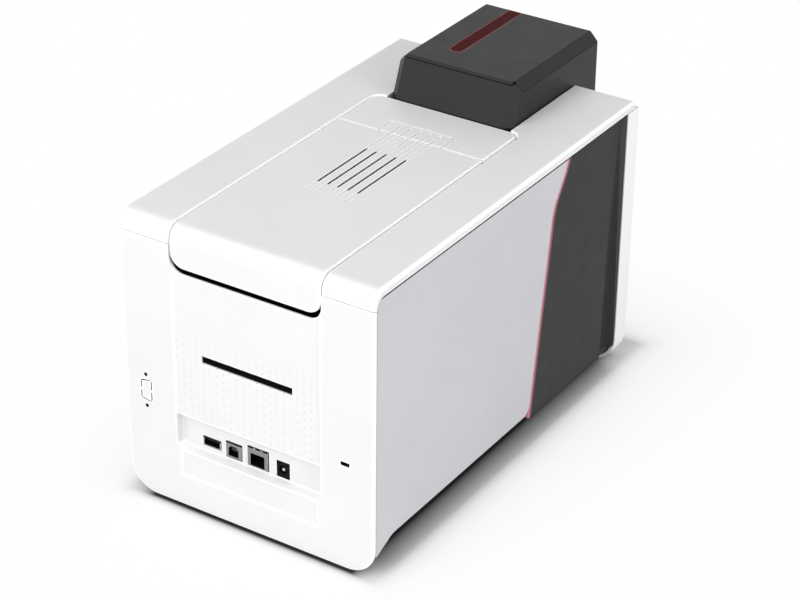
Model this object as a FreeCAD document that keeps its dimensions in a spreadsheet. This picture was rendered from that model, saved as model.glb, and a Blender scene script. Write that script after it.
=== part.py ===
import FreeCAD, Part
import math
import os
import types

import Sketcher

Vector = FreeCAD.Vector

# Card printer: white housing with a hinged lid, a black card feeder in front
# and a print engine inside. Millimetres, +Z up, front towards -Y. The origin
# is on the table, under the middle of the whole printer.

# Driving dimensions, which the spreadsheet holds
SIZES = {
    # overall
    "body_width": 205,
    "overall_length": 376,
    "cover_top": 221.8,
    "feeder_top": 252,
    "foot_height": 4,
    "shell_lift": 2.5,
    "feeder_length": 126.5,
    "feeder_overhang": 33.6,
    # moulded walls and the gaps between them
    "skin": 2.5,
    "seam": 0.6,
    "rest_gap": 0.3,
    "overrun": 5,
    # top cover
    "cover_edge": 5.8,
    "cover_roll": 11,
    "cover_skirt": 13.3,
    "cover_bevel": 1.8,
    "seam_edge": 1.1,
    "notch_width": 105,
    "ledge_width": 2.7,
    "opening_corner": 8.6,
    # lid
    "lid_width": 121.4,
    "lip_drop": 29.8,
    "lip_gap": 4.2,
    "lip_corner": 11,
    "skirt_depth": 7.3,
    "skirt_wall": 2,
    "skirt_inset": 3,
    "vent_pitch": 8.15,
    "vent_length": 104.7,
    "vent_width": 2,
    "vent_depth": 0.8,
    "vent_slot_width": 1.3,
    "vent_slot_length": 59.6,
    "vent_slot_start": 29.2,
    # lid hinge
    "hinge_inset": 10,
    "hinge_drop": 13.8,
    "hinge_pin_radius": 2.5,
    "hinge_ear_radius": 6,
    "hinge_ear_width": 4,
    "hinge_ear_root": 9,
    "hinge_ear_inset": 8,
    "running_fit": 0.05,
    # bridge cover and release button
    "bridge_length": 49.6,
    "bridge_gap": 0.9,
    "bridge_corner": 8,
    "button_width": 52,
    "button_length": 17.4,
    "button_corner": 3.5,
    "button_stem_width": 6,
    "button_stem_fit": 0.15,
    "button_stem_length": 7,
    "button_groove_length": 14.5,
    # rear housing
    "rear_plate": 2.4,
    "corner_radius": 22,
    "flange_depth": 14,
    "flange_wall": 2,
    "panel_recess": 0.8,
    "panel_width": 120,
    "recess_low": 50,
    "recess_high": 76.6,
    "recess_depth": 7,
    "recess_corner": 5,
    "recess_top_corner": 1.5,
    "recess_lip": 1.6,
    "sill_low": 28,
    "sill_width": 114,
    "slot_width": 74.6,
    "slot_height": 6,
    "knockout_inset": 17.2,
    "knockout_z": 87,
    "knockout_width": 9.5,
    "knockout_height": 18,
    "knockout_slot": 0.8,
    "knockout_skew": 1.5,
    "knockout_corner": 2,
    "knockout_bridge": 1,
    "lock_inset": 23,
    "lock_z": 86.4,
    "lock_width": 7,
    "lock_height": 3,
    # front bezel
    "bezel_reach": 10,
    "bezel_depth": 19,
    "bezel_edge": 3,
    "door_width": 107,
    "door_low": 34,
    # base tray and feet
    "tray_inset": 8.5,
    "tray_height": 22,
    "tray_rim": 10,
    "tray_slope": 15,
    "foot_width": 16,
    "foot_length": 22,
    "foot_inset": 3,
    "foot_front_inset": 16,
    "foot_rear_inset": 22,
    # side panels and piping
    "panel_inset": 0.4,
    "panel_fit": 0.3,
    "panel_seam": 1,
    "panel_corner": 8,
    "grey_low": 26.6,
    "heel_drop": 8.4,
    "heel_length": 20,
    "heel_round": 12,
    "dark_low": 22.6,
    "toe_drop": 4.8,
    "toe_length": 19,
    "toe_slope": 16,
    "toe_round": 14,
    "piping_width": 3,
    "piping_gap": 0.3,
    "piping_depth": 3.1,
    "wave_knee": 228.7,
    "wave_knee_drop": 32,
    "wave_shoulder": 244,
    "wave_shoulder_drop": 8.5,
    "wave_head": 247.4,
    "wave_knee_round": 34,
    "wave_shoulder_round": 14,
    "finger_inset": 12.5,
    "finger_core": 8.9,
    "finger_foot_radius": 14.2,
    "finger_block": 5,
    "finger_block_width": 32,
    # chassis
    "plate_gap": 130,
    "plate_wall": 2,
    "plate_front": 28,
    "plate_corner": 12,
    "plate_ear_height": 56,
    "plate_ear_reach": 14,
    "plate_ear_drop": 9,
    "plate_ear_rise": 18,
    "tie_radius": 3,
    # card path and rollers
    "path_height": 127,
    "card_width": 54,
    "card_length": 85.6,
    "card_play": 0.5,
    "guide_top_drop": 1.6,
    "guide_thickness": 2.8,
    "guide_fit": 0.3,
    "guide_window": 64,
    "guide_window_length": 20,
    "rail_height": 4.5,
    "rail_wall": 2.2,
    "shaft_radius": 3,
    "shaft_end": 5,
    "tyre_radius": 8,
    "tyre_length": 56,
    "platen_radius": 8.4,
    "pick_inset": 19.6,
    "entry_y": -20,
    "platen_y": 55,
    "exit_y": 130,
    "upper_radius": 6.5,
    "upper_gap": 1.1,
    # gears, pulleys, belt and motor
    "gear_module": 1.5,
    "gear_width": 5,
    "gear_offset": 2.5,
    "gear_backlash": 0.4,
    "pulley_radius": 7.5,
    "belt_width": 6,
    "belt_wall": 1.2,
    "belt_fit": 0.3,
    "motor_size": 42,
    "motor_length": 34,
    "motor_window": 12,
    "motor_shaft_radius": 2.5,
    "motor_shaft_depth": 12,
    # ribbon spools and print head
    "supply_y": 103,
    "takeup_y": 4,
    "spool_rise": 38,
    "cradle_gap": 93,
    "film_width": 60,
    "supply_film_radius": 21,
    "takeup_film_radius": 15,
    "journal_radius": 6,
    "journal_length": 4,
    "spool_fit": 0.5,
    "cradle_wall": 2,
    "cradle_front": 16,
    "cradle_rear": 16,
    "cradle_top": 13,
    "ribbon_motor_width": 20,
    "ribbon_motor_length": 24,
    "head_width": 66,
    "head_depth": 18,
    "head_gap": 1.6,
    "head_height": 5,
    "sink_height": 14,
    "sink_base": 4,
    "fin_wall": 1.4,
    "fin_pitch": 3.8,
    "bracket_width": 72,
    "bracket_wall": 2,
    "bracket_foot": 34,
    # electronics
    "board_height": 50,
    "board_wall": 1.6,
    "board_width": 116,
    "motor_clearance": 4,
    "post_radius": 3.5,
    "post_inset": 8,
    "socket_proud": 0.5,
    "socket_depth": 16,
    "socket_wall": 0.9,
    "socket_fit": 0.15,
    "usb_a_x": 35,
    "usb_a_width": 15,
    "usb_a_low": 54,
    "usb_a_height": 7.5,
    "usb_b_x": 16.4,
    "usb_b_width": 13.4,
    "usb_b_height": 12.9,
    "lan_x": -3.8,
    "lan_width": 17.5,
    "lan_height": 15.5,
    "jack_x": -24.5,
    "jack_width": 10.3,
    "jack_height": 12.4,
    "jack_bore": 3.2,
    "jack_pin": 1,
    # feeder
    "feeder_width": 103,
    "feeder_lean": 11,
    "feeder_corner": 7,
    "feeder_front_round": 1.2,
    "bevel_width": 6.8,
    "bevel_drop": 7.4,
    "bead_radius": 1.9,
    "bead_gap": 0.3,
    "feeder_wall": 1.4,
    "feeder_pin_radius": 0.9,
    "feeder_pin_length": 3.5,
    "post_length": 6,
    "well_clearance": 3,
    "well_front_inset": 24,
    "window_x": 18.8,
    "window_width": 11.3,
    "window_length": 90,
    "window_wall": 1.5,
    "weight_thickness": 5,
    "weight_rest": 4,
    "weight_clearance": 0.4,
    "grip_width": 8,
    "grip_length": 30,
    "grip_height": 10,
    # output tray, flap and front control
    "bin_width": 66,
    "bin_headroom": 14.6,
    "bin_wall": 2,
    "bin_length": 88,
    "bin_low": 38,
    "flap_thickness": 3,
    "flap_height": 56,
    "flap_width": 70,
    "flap_pin_radius": 1.5,
    "flap_pin_length": 12,
    "flap_bead": 3.2,
    "key_z": 170,
    "key_width": 15,
    "key_collar": 1.5,
    "key_travel": 1,
    "key_proud": 1.2,
    "light_drop": 20,
    "light_width": 3,
    "light_length": 30,
    "light_flange": 1.5,
    "key_board_width": 24,
    "key_board_rise": 16,
}

# Counts and shares: how many of a repeated thing, and parts of a size
VENT_COUNT = 5
PINION_TEETH = 12
PLATEN_TEETH = 24
SPOOL_PINION_TEETH = 12
SPOOL_GEAR_TEETH = 24
wave_slope_share = 0.150
tooth_foot_share = 0.43
tooth_tip_share = 0.08
tooth_depth_share = 1.75
tongue_drop_share = 2.5
tongue_low_share = 0.42
tongue_high_share = 0.66


class Size:
    """A length with its number and the sheet expression that it comes from."""

    def __init__(self, number, text):
        self.number = float(number)
        self.text = text

    def __add__(self, other):
        other = as_size(other)
        return Size(self.number + other.number, f"({self.text} + {other.text})")

    __radd__ = __add__

    def __sub__(self, other):
        other = as_size(other)
        return Size(self.number - other.number, f"({self.text} - {other.text})")

    def __rsub__(self, other):
        return as_size(other) - self

    def __mul__(self, factor):
        return Size(self.number * factor, f"({self.text} * {factor:.12g})")

    __rmul__ = __mul__

    def __truediv__(self, factor):
        return Size(self.number / factor, f"({self.text} / {factor:.12g})")

    def __neg__(self):
        return Size(-self.number, f"(0 - {self.text})")


def as_size(value):
    return value if isinstance(value, Size) else Size(value, f"{value:.12g}")


doc = FreeCAD.newDocument("CardPrinter")
sheet = doc.addObject("Spreadsheet::Sheet", "Sizes")
for row, (alias, number) in enumerate(SIZES.items(), start=1):
    sheet.set(f"A{row}", alias)
    sheet.set(f"B{row}", str(number))
    sheet.setAlias(f"B{row}", alias)
doc.recompute()
s = types.SimpleNamespace(**{alias: Size(sheet.get(alias), f"Sizes.{alias}") for alias in SIZES})


def bind(thing, path, value):
    """Bind one property of a document object to a size."""
    thing.setExpression(path, as_size(value).text)


def rectangle(u_low, u_high, v_low, v_high, radius=None):
    """Corners of a rectangle, all rounded alike where a radius is given."""
    corners = [(u_low, v_low), (u_high, v_low), (u_high, v_high), (u_low, v_high)]
    return [corner + (radius,) for corner in corners] if radius is not None else corners


def circle(u, v, radius):
    return ("circle", u, v, radius)


def side_x(side, low, high):
    """A stretch of X on one side of the printer, low end first."""
    return (low, high) if side > 0 else (-high, -low)


def mirrored(corners, side):
    """The same outline, or its mirror image in u where side is -1."""
    return [(corner[0] * side,) + tuple(corner[1:]) for corner in corners]


def box_edges(shape, **planes):
    """Names of the edges that lie wholly on the given planes, or run from one of a pair to the other."""
    found = []
    for index, edge in enumerate(shape.Edges, start=1):
        bounds = edge.BoundBox
        on_all = True
        for axis, value in planes.items():
            low = getattr(bounds, axis.upper() + "Min")
            high = getattr(bounds, axis.upper() + "Max")
            first, last = value if isinstance(value, tuple) else (value, value)
            on_all = on_all and max(abs(low - as_size(first).number), abs(high - as_size(last).number)) < 0.01
        if on_all:
            found.append(f"Edge{index}")
    return found


class Piece:
    """One PartDesign body, built up from padded and pocketed outlines.

    Outlines on "XY" hold (x, y), on "XZ" (x, z) and on "YZ" (y, z). A pad or
    pocket runs from low to high along the remaining axis.
    """

    ROLES = {"XY": "XY_Plane", "XZ": "XZ_Plane", "YZ": "YZ_Plane"}

    def __init__(self, name):
        self.name = name
        self.body = doc.addObject("PartDesign::Body", name)
        self.body.Label = name
        self.steps = 0

    def feature(self, kind):
        self.steps += 1
        short = kind.split("::")[1].lower()
        return self.body.newObject(kind, f"{self.name}_{short}_{self.steps}")

    def sketch(self, plane, offset, profiles):
        sketch = self.feature("Sketcher::SketchObject")
        role = self.ROLES[plane]
        support = [part for part in self.body.Origin.OriginFeatures if part.Role == role][0]
        sketch.AttachmentSupport = [(support, "")]
        sketch.MapMode = "FlatFace"
        bind(sketch, "AttachmentOffset.Base.z", offset)
        for profile in profiles:
            if profile[0] == "circle":
                draw_circle(sketch, *profile[1:])
            else:
                draw_outline(sketch, profile)
        return sketch

    def pad(self, plane, low, high, *profiles):
        start = -as_size(high) if plane == "XZ" else low
        sketch = self.sketch(plane, start, profiles)
        pad = self.feature("PartDesign::Pad")
        pad.Profile = sketch
        bind(pad, "Length", high - low)
        return pad

    def pocket(self, plane, low, high, *profiles):
        start = -as_size(low) if plane == "XZ" else high
        sketch = self.sketch(plane, start, profiles)
        pocket = self.feature("PartDesign::Pocket")
        pocket.Profile = sketch
        bind(pocket, "Length", high - low)
        return pocket

    def round_edges(self, radius, *places):
        """Fillet the edges on each of the given sets of planes."""
        return self.dress("PartDesign::Fillet", "Radius", radius, places)

    def chamfer_edges(self, size, *places):
        return self.dress("PartDesign::Chamfer", "Size", size, places)

    def dress(self, kind, path, value, places):
        doc.recompute()
        base = self.body.Tip
        names = []
        for planes in places:
            names += [name for name in box_edges(base.Shape, **planes) if name not in names]
        feature = self.feature(kind)
        feature.Base = (base, names)
        bind(feature, path, value)
        return feature

    def repeat(self, features, axis, count, pitch):
        """Copies of the features in a row along one of the body's axes."""
        pattern = self.feature("PartDesign::LinearPattern")
        pattern.Originals = features
        role = axis.upper() + "_Axis"
        pattern.Direction = ([part for part in self.body.Origin.OriginFeatures if part.Role == role][0], [""])
        bind(pattern, "Length", pitch * (count - 1))
        pattern.Occurrences = count
        self.body.Tip = pattern
        return pattern

    def repeat_round(self, features, axis, count):
        """Copies of the features all the way round one of the body's axes."""
        pattern = self.feature("PartDesign::PolarPattern")
        pattern.Originals = features
        role = axis.upper() + "_Axis"
        pattern.Axis = ([part for part in self.body.Origin.OriginFeatures if part.Role == role][0], [""])
        pattern.Angle = 360
        pattern.Occurrences = count
        self.body.Tip = pattern
        return pattern

    def place(self, x=0, y=0, z=0, turn=0):
        """Move the body, turned about X by so many degrees."""
        self.body.Placement = FreeCAD.Placement(Vector(), FreeCAD.Rotation(Vector(1, 0, 0), turn))
        bind(self.body, "Placement.Base.x", x)
        bind(self.body, "Placement.Base.y", y)
        bind(self.body, "Placement.Base.z", z)


def fix_point(sketch, index, position, u, v):
    """Hold a sketch point at (u, v) from the sketch's origin."""
    for kind, value in (("DistanceX", u), ("DistanceY", v)):
        value = as_size(value)
        number = sketch.addConstraint(Sketcher.Constraint(kind, -1, 1, index, position, value.number))
        sketch.setExpression(f"Constraints[{number}]", value.text)


def draw_circle(sketch, u, v, radius):
    centre = Vector(as_size(u).number, as_size(v).number, 0)
    index = sketch.addGeometry(Part.Circle(centre, Vector(0, 0, 1), radius.number), False)
    fix_point(sketch, index, 3, u, v)
    number = sketch.addConstraint(Sketcher.Constraint("Radius", index, radius.number))
    sketch.setExpression(f"Constraints[{number}]", radius.text)


def draw_outline(sketch, corners):
    """A closed outline of straight edges, with a tangent arc at each corner that has a radius."""
    points = [Vector(as_size(c[0]).number, as_size(c[1]).number, 0) for c in corners]
    radii = [as_size(c[2]) if len(c) > 2 else None for c in corners]
    count = len(corners)
    starts, ends, arcs = {}, {}, {}
    for k, point in enumerate(points):
        starts[k], ends[k] = point, point
        if radii[k] is None:
            continue
        before = (points[k - 1] - point).normalize()
        after = (points[(k + 1) % count] - point).normalize()
        half = before.getAngle(after) / 2
        reach = radii[k].number / math.tan(half)
        centre = point + (before + after).normalize() * (radii[k].number / math.sin(half))
        ends[k] = point + before * reach
        starts[k] = point + after * reach
        arcs[k] = (centre, ends[k], starts[k])
    lines = [
        sketch.addGeometry(Part.LineSegment(starts[k], ends[(k + 1) % count]), False)
        for k in range(count)
    ]
    for k in range(count):
        line_in, line_out = lines[k - 1], lines[k]
        if radii[k] is None:
            sketch.addConstraint(Sketcher.Constraint("Coincident", line_in, 2, line_out, 1))
            fix_point(sketch, line_out, 1, corners[k][0], corners[k][1])
            continue
        centre, first, last = arcs[k]
        turn = (first - centre).cross(last - centre).z
        if turn < 0:
            first, last = last, first
        angles = [math.atan2(p.y - centre.y, p.x - centre.x) for p in (first, last)]
        if angles[1] < angles[0]:
            angles[1] += 2 * math.pi
        ring = Part.Circle(centre, Vector(0, 0, 1), radii[k].number)
        arc = sketch.addGeometry(Part.ArcOfCircle(ring, angles[0], angles[1]), False)
        ends_of_arc = (1, 2) if turn > 0 else (2, 1)
        corner = sketch.addGeometry(Part.Point(points[k]), True)
        sketch.addConstraint(Sketcher.Constraint("Tangent", line_in, 2, arc, ends_of_arc[0]))
        sketch.addConstraint(Sketcher.Constraint("Tangent", arc, ends_of_arc[1], line_out, 1))
        sketch.addConstraint(Sketcher.Constraint("PointOnObject", corner, 1, line_in))
        sketch.addConstraint(Sketcher.Constraint("PointOnObject", corner, 1, line_out))
        fix_point(sketch, corner, 1, corners[k][0], corners[k][1])
        number = sketch.addConstraint(Sketcher.Constraint("Radius", arc, radii[k].number))
        sketch.setExpression(f"Constraints[{number}]", radii[k].text)


# Places that several pieces share
half_width = s.body_width / 2
rear_y = s.overall_length / 2
front_y = -rear_y
cover_front = front_y + s.feeder_overhang
cover_under = s.cover_top - s.cover_edge
skin_under = s.cover_top - s.skin
ledge_top = skin_under - s.rest_gap
skirt_bottom = s.cover_top - s.cover_skirt
bezel_front = cover_front - s.bezel_reach
bezel_back = bezel_front + s.bezel_depth
shell_bottom = s.shell_lift
lid_half = s.lid_width / 2
opening_half = lid_half + s.seam
feeder_rear = front_y + s.feeder_length
bridge_front = feeder_rear + s.bridge_gap
bridge_back = bridge_front + s.bridge_length
lid_front = bridge_back + s.seam
opening_front = bridge_front - s.seam
lip_bottom = s.cover_top - s.lip_drop
lip_clear = lip_bottom - s.lip_gap
hinge_y = rear_y - s.hinge_inset
hinge_z = s.cover_top - s.hinge_drop
rear_inside = rear_y - s.rear_plate
flange_front = rear_inside - s.flange_depth
recess_floor = rear_y - s.recess_depth
panel_face = half_width - s.panel_inset
panel_back = panel_face - s.skin
panel_top = cover_under - s.panel_seam
knee_z = panel_top - s.wave_knee_drop
shoulder_z = panel_top - s.wave_shoulder_drop
plate_half = s.plate_gap / 2
plate_outside = plate_half + s.plate_wall
tray_half = half_width - s.tray_inset
tray_floor_half = tray_half - s.tray_slope
tray_floor = s.foot_height + s.skin
roller_z = s.path_height - s.tyre_radius
guide_top = s.path_height - s.guide_top_drop
guide_bottom = guide_top - s.guide_thickness
upper_z = s.path_height + s.upper_gap + s.upper_radius
plate_rear = flange_front - s.skin - s.rest_gap
gear_low = plate_outside + s.gear_offset
gear_high = gear_low + s.gear_width
pulley_low = gear_high + s.gear_offset
board_top = s.board_height + s.board_wall
pinion_radius = s.gear_module * (PINION_TEETH / 2)
platen_gear_radius = s.gear_module * (PLATEN_TEETH / 2)
gear_distance = pinion_radius + platen_gear_radius + s.gear_backlash
motor_z = roller_z - gear_distance
spool_gear_distance = s.gear_module * ((SPOOL_PINION_TEETH + SPOOL_GEAR_TEETH) / 2) + s.gear_backlash
spool_z = s.path_height + s.spool_rise
spool_pinion_z = spool_z - spool_gear_distance
cradle_inside = s.cradle_gap / 2
cradle_outside = cradle_inside + s.cradle_wall
spool_gear_low = cradle_outside + s.gear_offset
spool_gear_high = spool_gear_low + s.gear_width
feeder_half = s.feeder_width / 2
feeder_top_half = feeder_half - s.bevel_width
bevel_low = s.feeder_top - s.bevel_drop
hopper_top = bevel_low - s.rest_gap
bead_z = s.feeder_top - s.bead_radius
wall_top_y = feeder_rear - s.feeder_lean
bead_y = wall_top_y - s.feeder_wall - s.bead_gap - s.bead_radius
post_front = wall_top_y - s.post_length
well_half = (s.card_width + s.well_clearance) / 2
well_front = front_y + s.well_front_inset
well_rear = well_front + s.card_length + s.well_clearance
pick_y = well_rear - s.pick_inset
bin_half = s.bin_width / 2
bin_top = guide_bottom - s.bin_headroom
door_half = s.door_width / 2
key_x = (door_half + half_width) / 2
flap_z = s.bin_low + s.flap_bead


def arm_front():
    """Plan of the inner side of an arm beside the feeder, with the corner round the bridge cover."""
    notch_half = s.notch_width / 2
    overlap = opening_half + s.skin
    return [
        (notch_half, cover_front),
        (overlap, cover_front),
        (overlap, bridge_back),
        (opening_half, bridge_back),
        (opening_half, opening_front, s.opening_corner),
        (notch_half, opening_front),
    ]


def top_cover():
    """Two long arms joined under the bridge cover, rolled over at the rear."""
    cover = Piece("top_cover")
    deck_half = opening_half + s.skin
    deck_back = lid_front + s.ledge_width
    hole_front = bridge_back - s.button_length - s.ledge_width
    hole_half = s.button_width / 2 + s.rest_gap
    cover.pad("XY", cover_under, ledge_top, rectangle(-deck_half, deck_half, bridge_front, deck_back))
    side_view = [
        (cover_front, cover_under),
        (rear_inside, cover_under, s.panel_corner + s.seam),
        (rear_inside, skirt_bottom),
        (rear_y, skirt_bottom),
        (rear_y, s.cover_top, s.cover_roll),
        (cover_front, s.cover_top),
    ]
    for side in (-1, 1):
        cover.pad("YZ", *side_x(side, opening_half, half_width), side_view)
        cover.pad("XY", cover_under, s.cover_top, mirrored(arm_front(), side))
    hollow = [
        (cover_front + s.skin, skirt_bottom - s.overrun),
        (cover_front + s.skin, skin_under),
        (rear_inside, skin_under, s.cover_roll - s.skin),
        (rear_inside, skirt_bottom - s.overrun),
    ]
    wall_half = opening_half + s.skin
    cover.pocket("YZ", wall_half, half_width - s.skin, hollow)
    cover.pocket("YZ", s.skin - half_width, -wall_half, hollow)
    ledge_end = hinge_y - s.ledge_width
    for side in (-1, 1):
        ledge = rectangle(lid_half - s.ledge_width, deck_half, lid_front, ledge_end)
        cover.pad("XY", cover_under, ledge_top, mirrored(ledge, side))
    button_hole = rectangle(-hole_half, hole_half, hole_front, bridge_back)
    cover.pocket("XY", cover_under, ledge_top, button_hole)
    bridge_low = cover_under - s.skin
    bridge_half = hole_half + s.ledge_width * 2
    middle = bridge_back - s.button_length / 2
    cover.pad("XY", bridge_low, cover_under, rectangle(
        -bridge_half, bridge_half, middle - s.button_stem_width, middle + s.button_stem_width,
    ))
    cover.pocket("XY", bridge_low, cover_under, stem_outline(s.button_stem_fit))
    cover.chamfer_edges(
        s.cover_bevel,
        {"x": half_width, "z": s.cover_top},
        {"x": -half_width, "z": s.cover_top},
    )
    cover.chamfer_edges(
        s.seam_edge,
        {"x": opening_half, "z": s.cover_top},
        {"x": -opening_half, "z": s.cover_top},
    )


def vent_outlines(y_low, y_high, width):
    """The first of the row of grooves, which runs along Y."""
    first = -s.vent_pitch * ((VENT_COUNT - 1) / 2)
    return rectangle(first - width / 2, first + width / 2, y_low, y_high)


def lid():
    """Lid skin that rolls over the rear edge into a lip, with vents, skirts and hinge ears."""
    lid = Piece("lid")
    inner_roll = s.cover_roll - s.skin
    lid.pad("YZ", -lid_half, lid_half, [
        (lid_front, skin_under),
        (rear_inside, skin_under, inner_roll),
        (rear_inside, lip_bottom),
        (rear_y, lip_bottom),
        (rear_y, s.cover_top, s.cover_roll),
        (lid_front, s.cover_top),
    ])
    lid.round_edges(s.lip_corner, {"x": lid_half, "z": lip_bottom}, {"x": -lid_half, "z": lip_bottom})
    lid.chamfer_edges(
        s.seam_edge,
        {"x": lid_half, "z": s.cover_top},
        {"y": lid_front, "z": s.cover_top},
    )
    skirt_top = skin_under
    skirt_low = skirt_top - s.skirt_depth
    skirt_half = lid_half - s.skirt_inset
    skirt_front = lid_front + s.skirt_inset
    skirt_rear = hinge_y - s.hinge_ear_root
    for side in (-1, 1):
        wall = rectangle(skirt_half - s.skirt_wall, skirt_half, skirt_front, skirt_rear)
        lid.pad("XY", skirt_low, skirt_top, mirrored(wall, side))
    front_wall = rectangle(-skirt_half, skirt_half, skirt_front, skirt_front + s.skirt_wall)
    lid.pad("XY", skirt_low, skirt_top, front_wall)
    ear_outline = [
        (hinge_y - s.hinge_ear_root, skin_under),
        (hinge_y - s.hinge_ear_radius, hinge_z),
        (hinge_y - s.hinge_ear_radius / 2, hinge_z - s.hinge_ear_radius),
        (hinge_y + s.hinge_ear_radius / 2, hinge_z - s.hinge_ear_radius),
        (hinge_y + s.hinge_ear_radius, hinge_z),
        (hinge_y + s.hinge_ear_radius, skin_under),
    ]
    ear_high = skirt_half
    ear_low = ear_high - s.hinge_ear_width
    lid.pad("YZ", ear_low, ear_high, ear_outline)
    lid.pad("YZ", -ear_high, -ear_low, ear_outline)
    pin_hole = circle(hinge_y, hinge_z, s.hinge_pin_radius + s.running_fit)
    lid.pocket("YZ", ear_low, ear_high, pin_hole)
    lid.pocket("YZ", -ear_high, -ear_low, pin_hole)
    groove = lid.pocket(
        "XY", s.cover_top - s.vent_depth, s.cover_top,
        vent_outlines(lid_front, lid_front + s.vent_length, s.vent_width),
    )
    slot_start = lid_front + s.vent_slot_start
    slot = lid.pocket(
        "XY", skin_under, s.cover_top,
        vent_outlines(slot_start, slot_start + s.vent_slot_length, s.vent_slot_width),
    )
    doc.recompute()
    lid.repeat([groove, slot], "x", VENT_COUNT, s.vent_pitch)


def bridge_cover():
    """Fixed cover between the lid and the feeder, cut out round the release button."""
    cover = Piece("bridge_cover")
    button_half = s.button_width / 2
    cut_half = button_half + s.seam
    cut_front = bridge_back - s.button_length - s.seam
    corner = s.bridge_corner
    cover.pad("XY", skin_under - s.rest_gap, s.cover_top, [
        (-lid_half, bridge_back),
        (-lid_half, bridge_front, corner),
        (lid_half, bridge_front, corner),
        (lid_half, bridge_back),
        (cut_half, bridge_back),
        (cut_half, cut_front, s.button_corner),
        (-cut_half, cut_front, s.button_corner),
        (-cut_half, bridge_back),
    ])
    cover.chamfer_edges(s.seam_edge, {"x": lid_half, "z": s.cover_top})


def release_button():
    """Ribbed push button in front of the lid, on a stem."""
    button = Piece("release_button")
    button_half = s.button_width / 2
    button_front = bridge_back - s.button_length
    button_back = bridge_back - s.seam / 2
    button.pad("XY", skin_under, s.cover_top, [
        (-button_half, button_back),
        (-button_half, button_front, s.button_corner),
        (button_half, button_front, s.button_corner),
        (button_half, button_back),
    ])
    groove = button.pocket(
        "XY", s.cover_top - s.vent_depth, s.cover_top,
        vent_outlines(button_back - s.button_groove_length, button_back, s.vent_slot_width),
    )
    doc.recompute()
    button.repeat([groove], "x", VENT_COUNT, s.vent_pitch)
    button.pad("XY", skin_under - s.button_stem_length, skin_under, stem_outline(0))


def stem_outline(clearance):
    """Plan of the release button's square stem, or of the hole that it runs in."""
    half = s.button_stem_width / 2 + clearance
    middle = bridge_back - s.button_length / 2
    return rectangle(-half, half, middle - half, middle + half)


def sockets():
    """Centre, width, low edge and height of each socket's opening in the rear recess."""
    return {
        "usb_a_socket": (s.usb_a_x, s.usb_a_width, s.usb_a_low, s.usb_a_height),
        "usb_b_socket": (s.usb_b_x, s.usb_b_width, board_top, s.usb_b_height),
        "network_socket": (s.lan_x, s.lan_width, board_top, s.lan_height),
        "power_jack": (s.jack_x, s.jack_width, board_top, s.jack_height),
    }


def rear_housing():
    """White rear shell: plate, inner flange, port recess, card slot and cut-outs."""
    rear = Piece("rear_housing")
    rear_top = skirt_bottom - s.seam
    rear.pad("XZ", rear_inside, rear_y, [
        (-half_width, rear_top),
        (-half_width, shell_bottom, s.corner_radius),
        (half_width, shell_bottom, s.corner_radius),
        (half_width, rear_top),
        (opening_half, rear_top),
        (opening_half, lip_clear, s.lip_corner),
        (-opening_half, lip_clear, s.lip_corner),
        (-opening_half, rear_top),
    ])
    outer = panel_back - s.panel_fit
    inner = outer - s.flange_wall
    outer_low = shell_bottom + half_width - outer
    inner_low = outer_low + s.flange_wall
    outer_cut = s.corner_radius - (half_width - outer)
    inner_cut = outer_cut - s.flange_wall
    flange_top = rear_top - s.cover_edge
    rear.pad("XZ", flange_front, rear_inside, [
        (-outer, flange_top),
        (-outer, outer_low + outer_cut),
        (outer_cut - outer, outer_low),
        (outer - outer_cut, outer_low),
        (outer, outer_low + outer_cut),
        (outer, flange_top),
        (inner, flange_top),
        (inner, inner_low + inner_cut),
        (inner - inner_cut, inner_low),
        (inner_cut - inner, inner_low),
        (-inner, inner_low + inner_cut),
        (-inner, flange_top),
    ])
    recess_half = s.panel_width / 2
    rear.pad("XZ", recess_floor - s.skin, rear_inside, rectangle(
        -recess_half - s.skin, recess_half + s.skin, s.recess_low - s.skin, s.recess_high + s.skin,
    ))
    rear.pocket("XZ", rear_y - s.panel_recess, rear_y, rectangle(
        -recess_half, recess_half, s.recess_high, lip_clear + s.lip_gap,
    ))
    rear.pocket("XZ", rear_y - s.panel_recess, rear_y, rectangle(
        -s.sill_width / 2, s.sill_width / 2, s.sill_low, s.recess_low - s.skin,
    ))
    rear.pocket("XZ", recess_floor, rear_y, [
        (-recess_half, s.recess_low, s.recess_corner),
        (recess_half, s.recess_low, s.recess_corner),
        (recess_half, s.recess_high, s.recess_top_corner),
        (-recess_half, s.recess_high, s.recess_top_corner),
    ])
    slope_half = recess_half - s.recess_corner
    rear.pocket("YZ", -slope_half, slope_half, [
        (recess_floor + s.recess_lip, s.recess_low),
        (rear_y, s.recess_low - s.recess_lip),
        (rear_y + s.overrun, s.recess_low - s.recess_lip),
        (rear_y + s.overrun, s.recess_low),
    ])
    slot_low = s.path_height - s.slot_height / 2
    rear.pocket("XZ", rear_inside, rear_y, rectangle(
        -s.slot_width / 2, s.slot_width / 2, slot_low, slot_low + s.slot_height,
    ))
    apertures = []
    for centre, width, low, height in sockets().values():
        half = width / 2 + s.socket_fit
        top = low + height + s.socket_fit
        apertures.append(rectangle(centre - half, centre + half, low - s.socket_fit, top))
    rear.pocket("XZ", recess_floor - s.skin, recess_floor, *apertures)
    lock_x = half_width - s.lock_inset
    rear.pocket("XZ", rear_inside, rear_y, rectangle(
        -lock_x - s.lock_width / 2, -lock_x + s.lock_width / 2,
        s.lock_z - s.lock_height / 2, s.lock_z + s.lock_height / 2,
    ))
    rear.pocket("XZ", rear_inside, rear_y, *knockout_outlines())
    rear.chamfer_edges(s.seam_edge, {"x": half_width, "y": rear_y}, {"x": -half_width, "y": rear_y})


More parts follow.
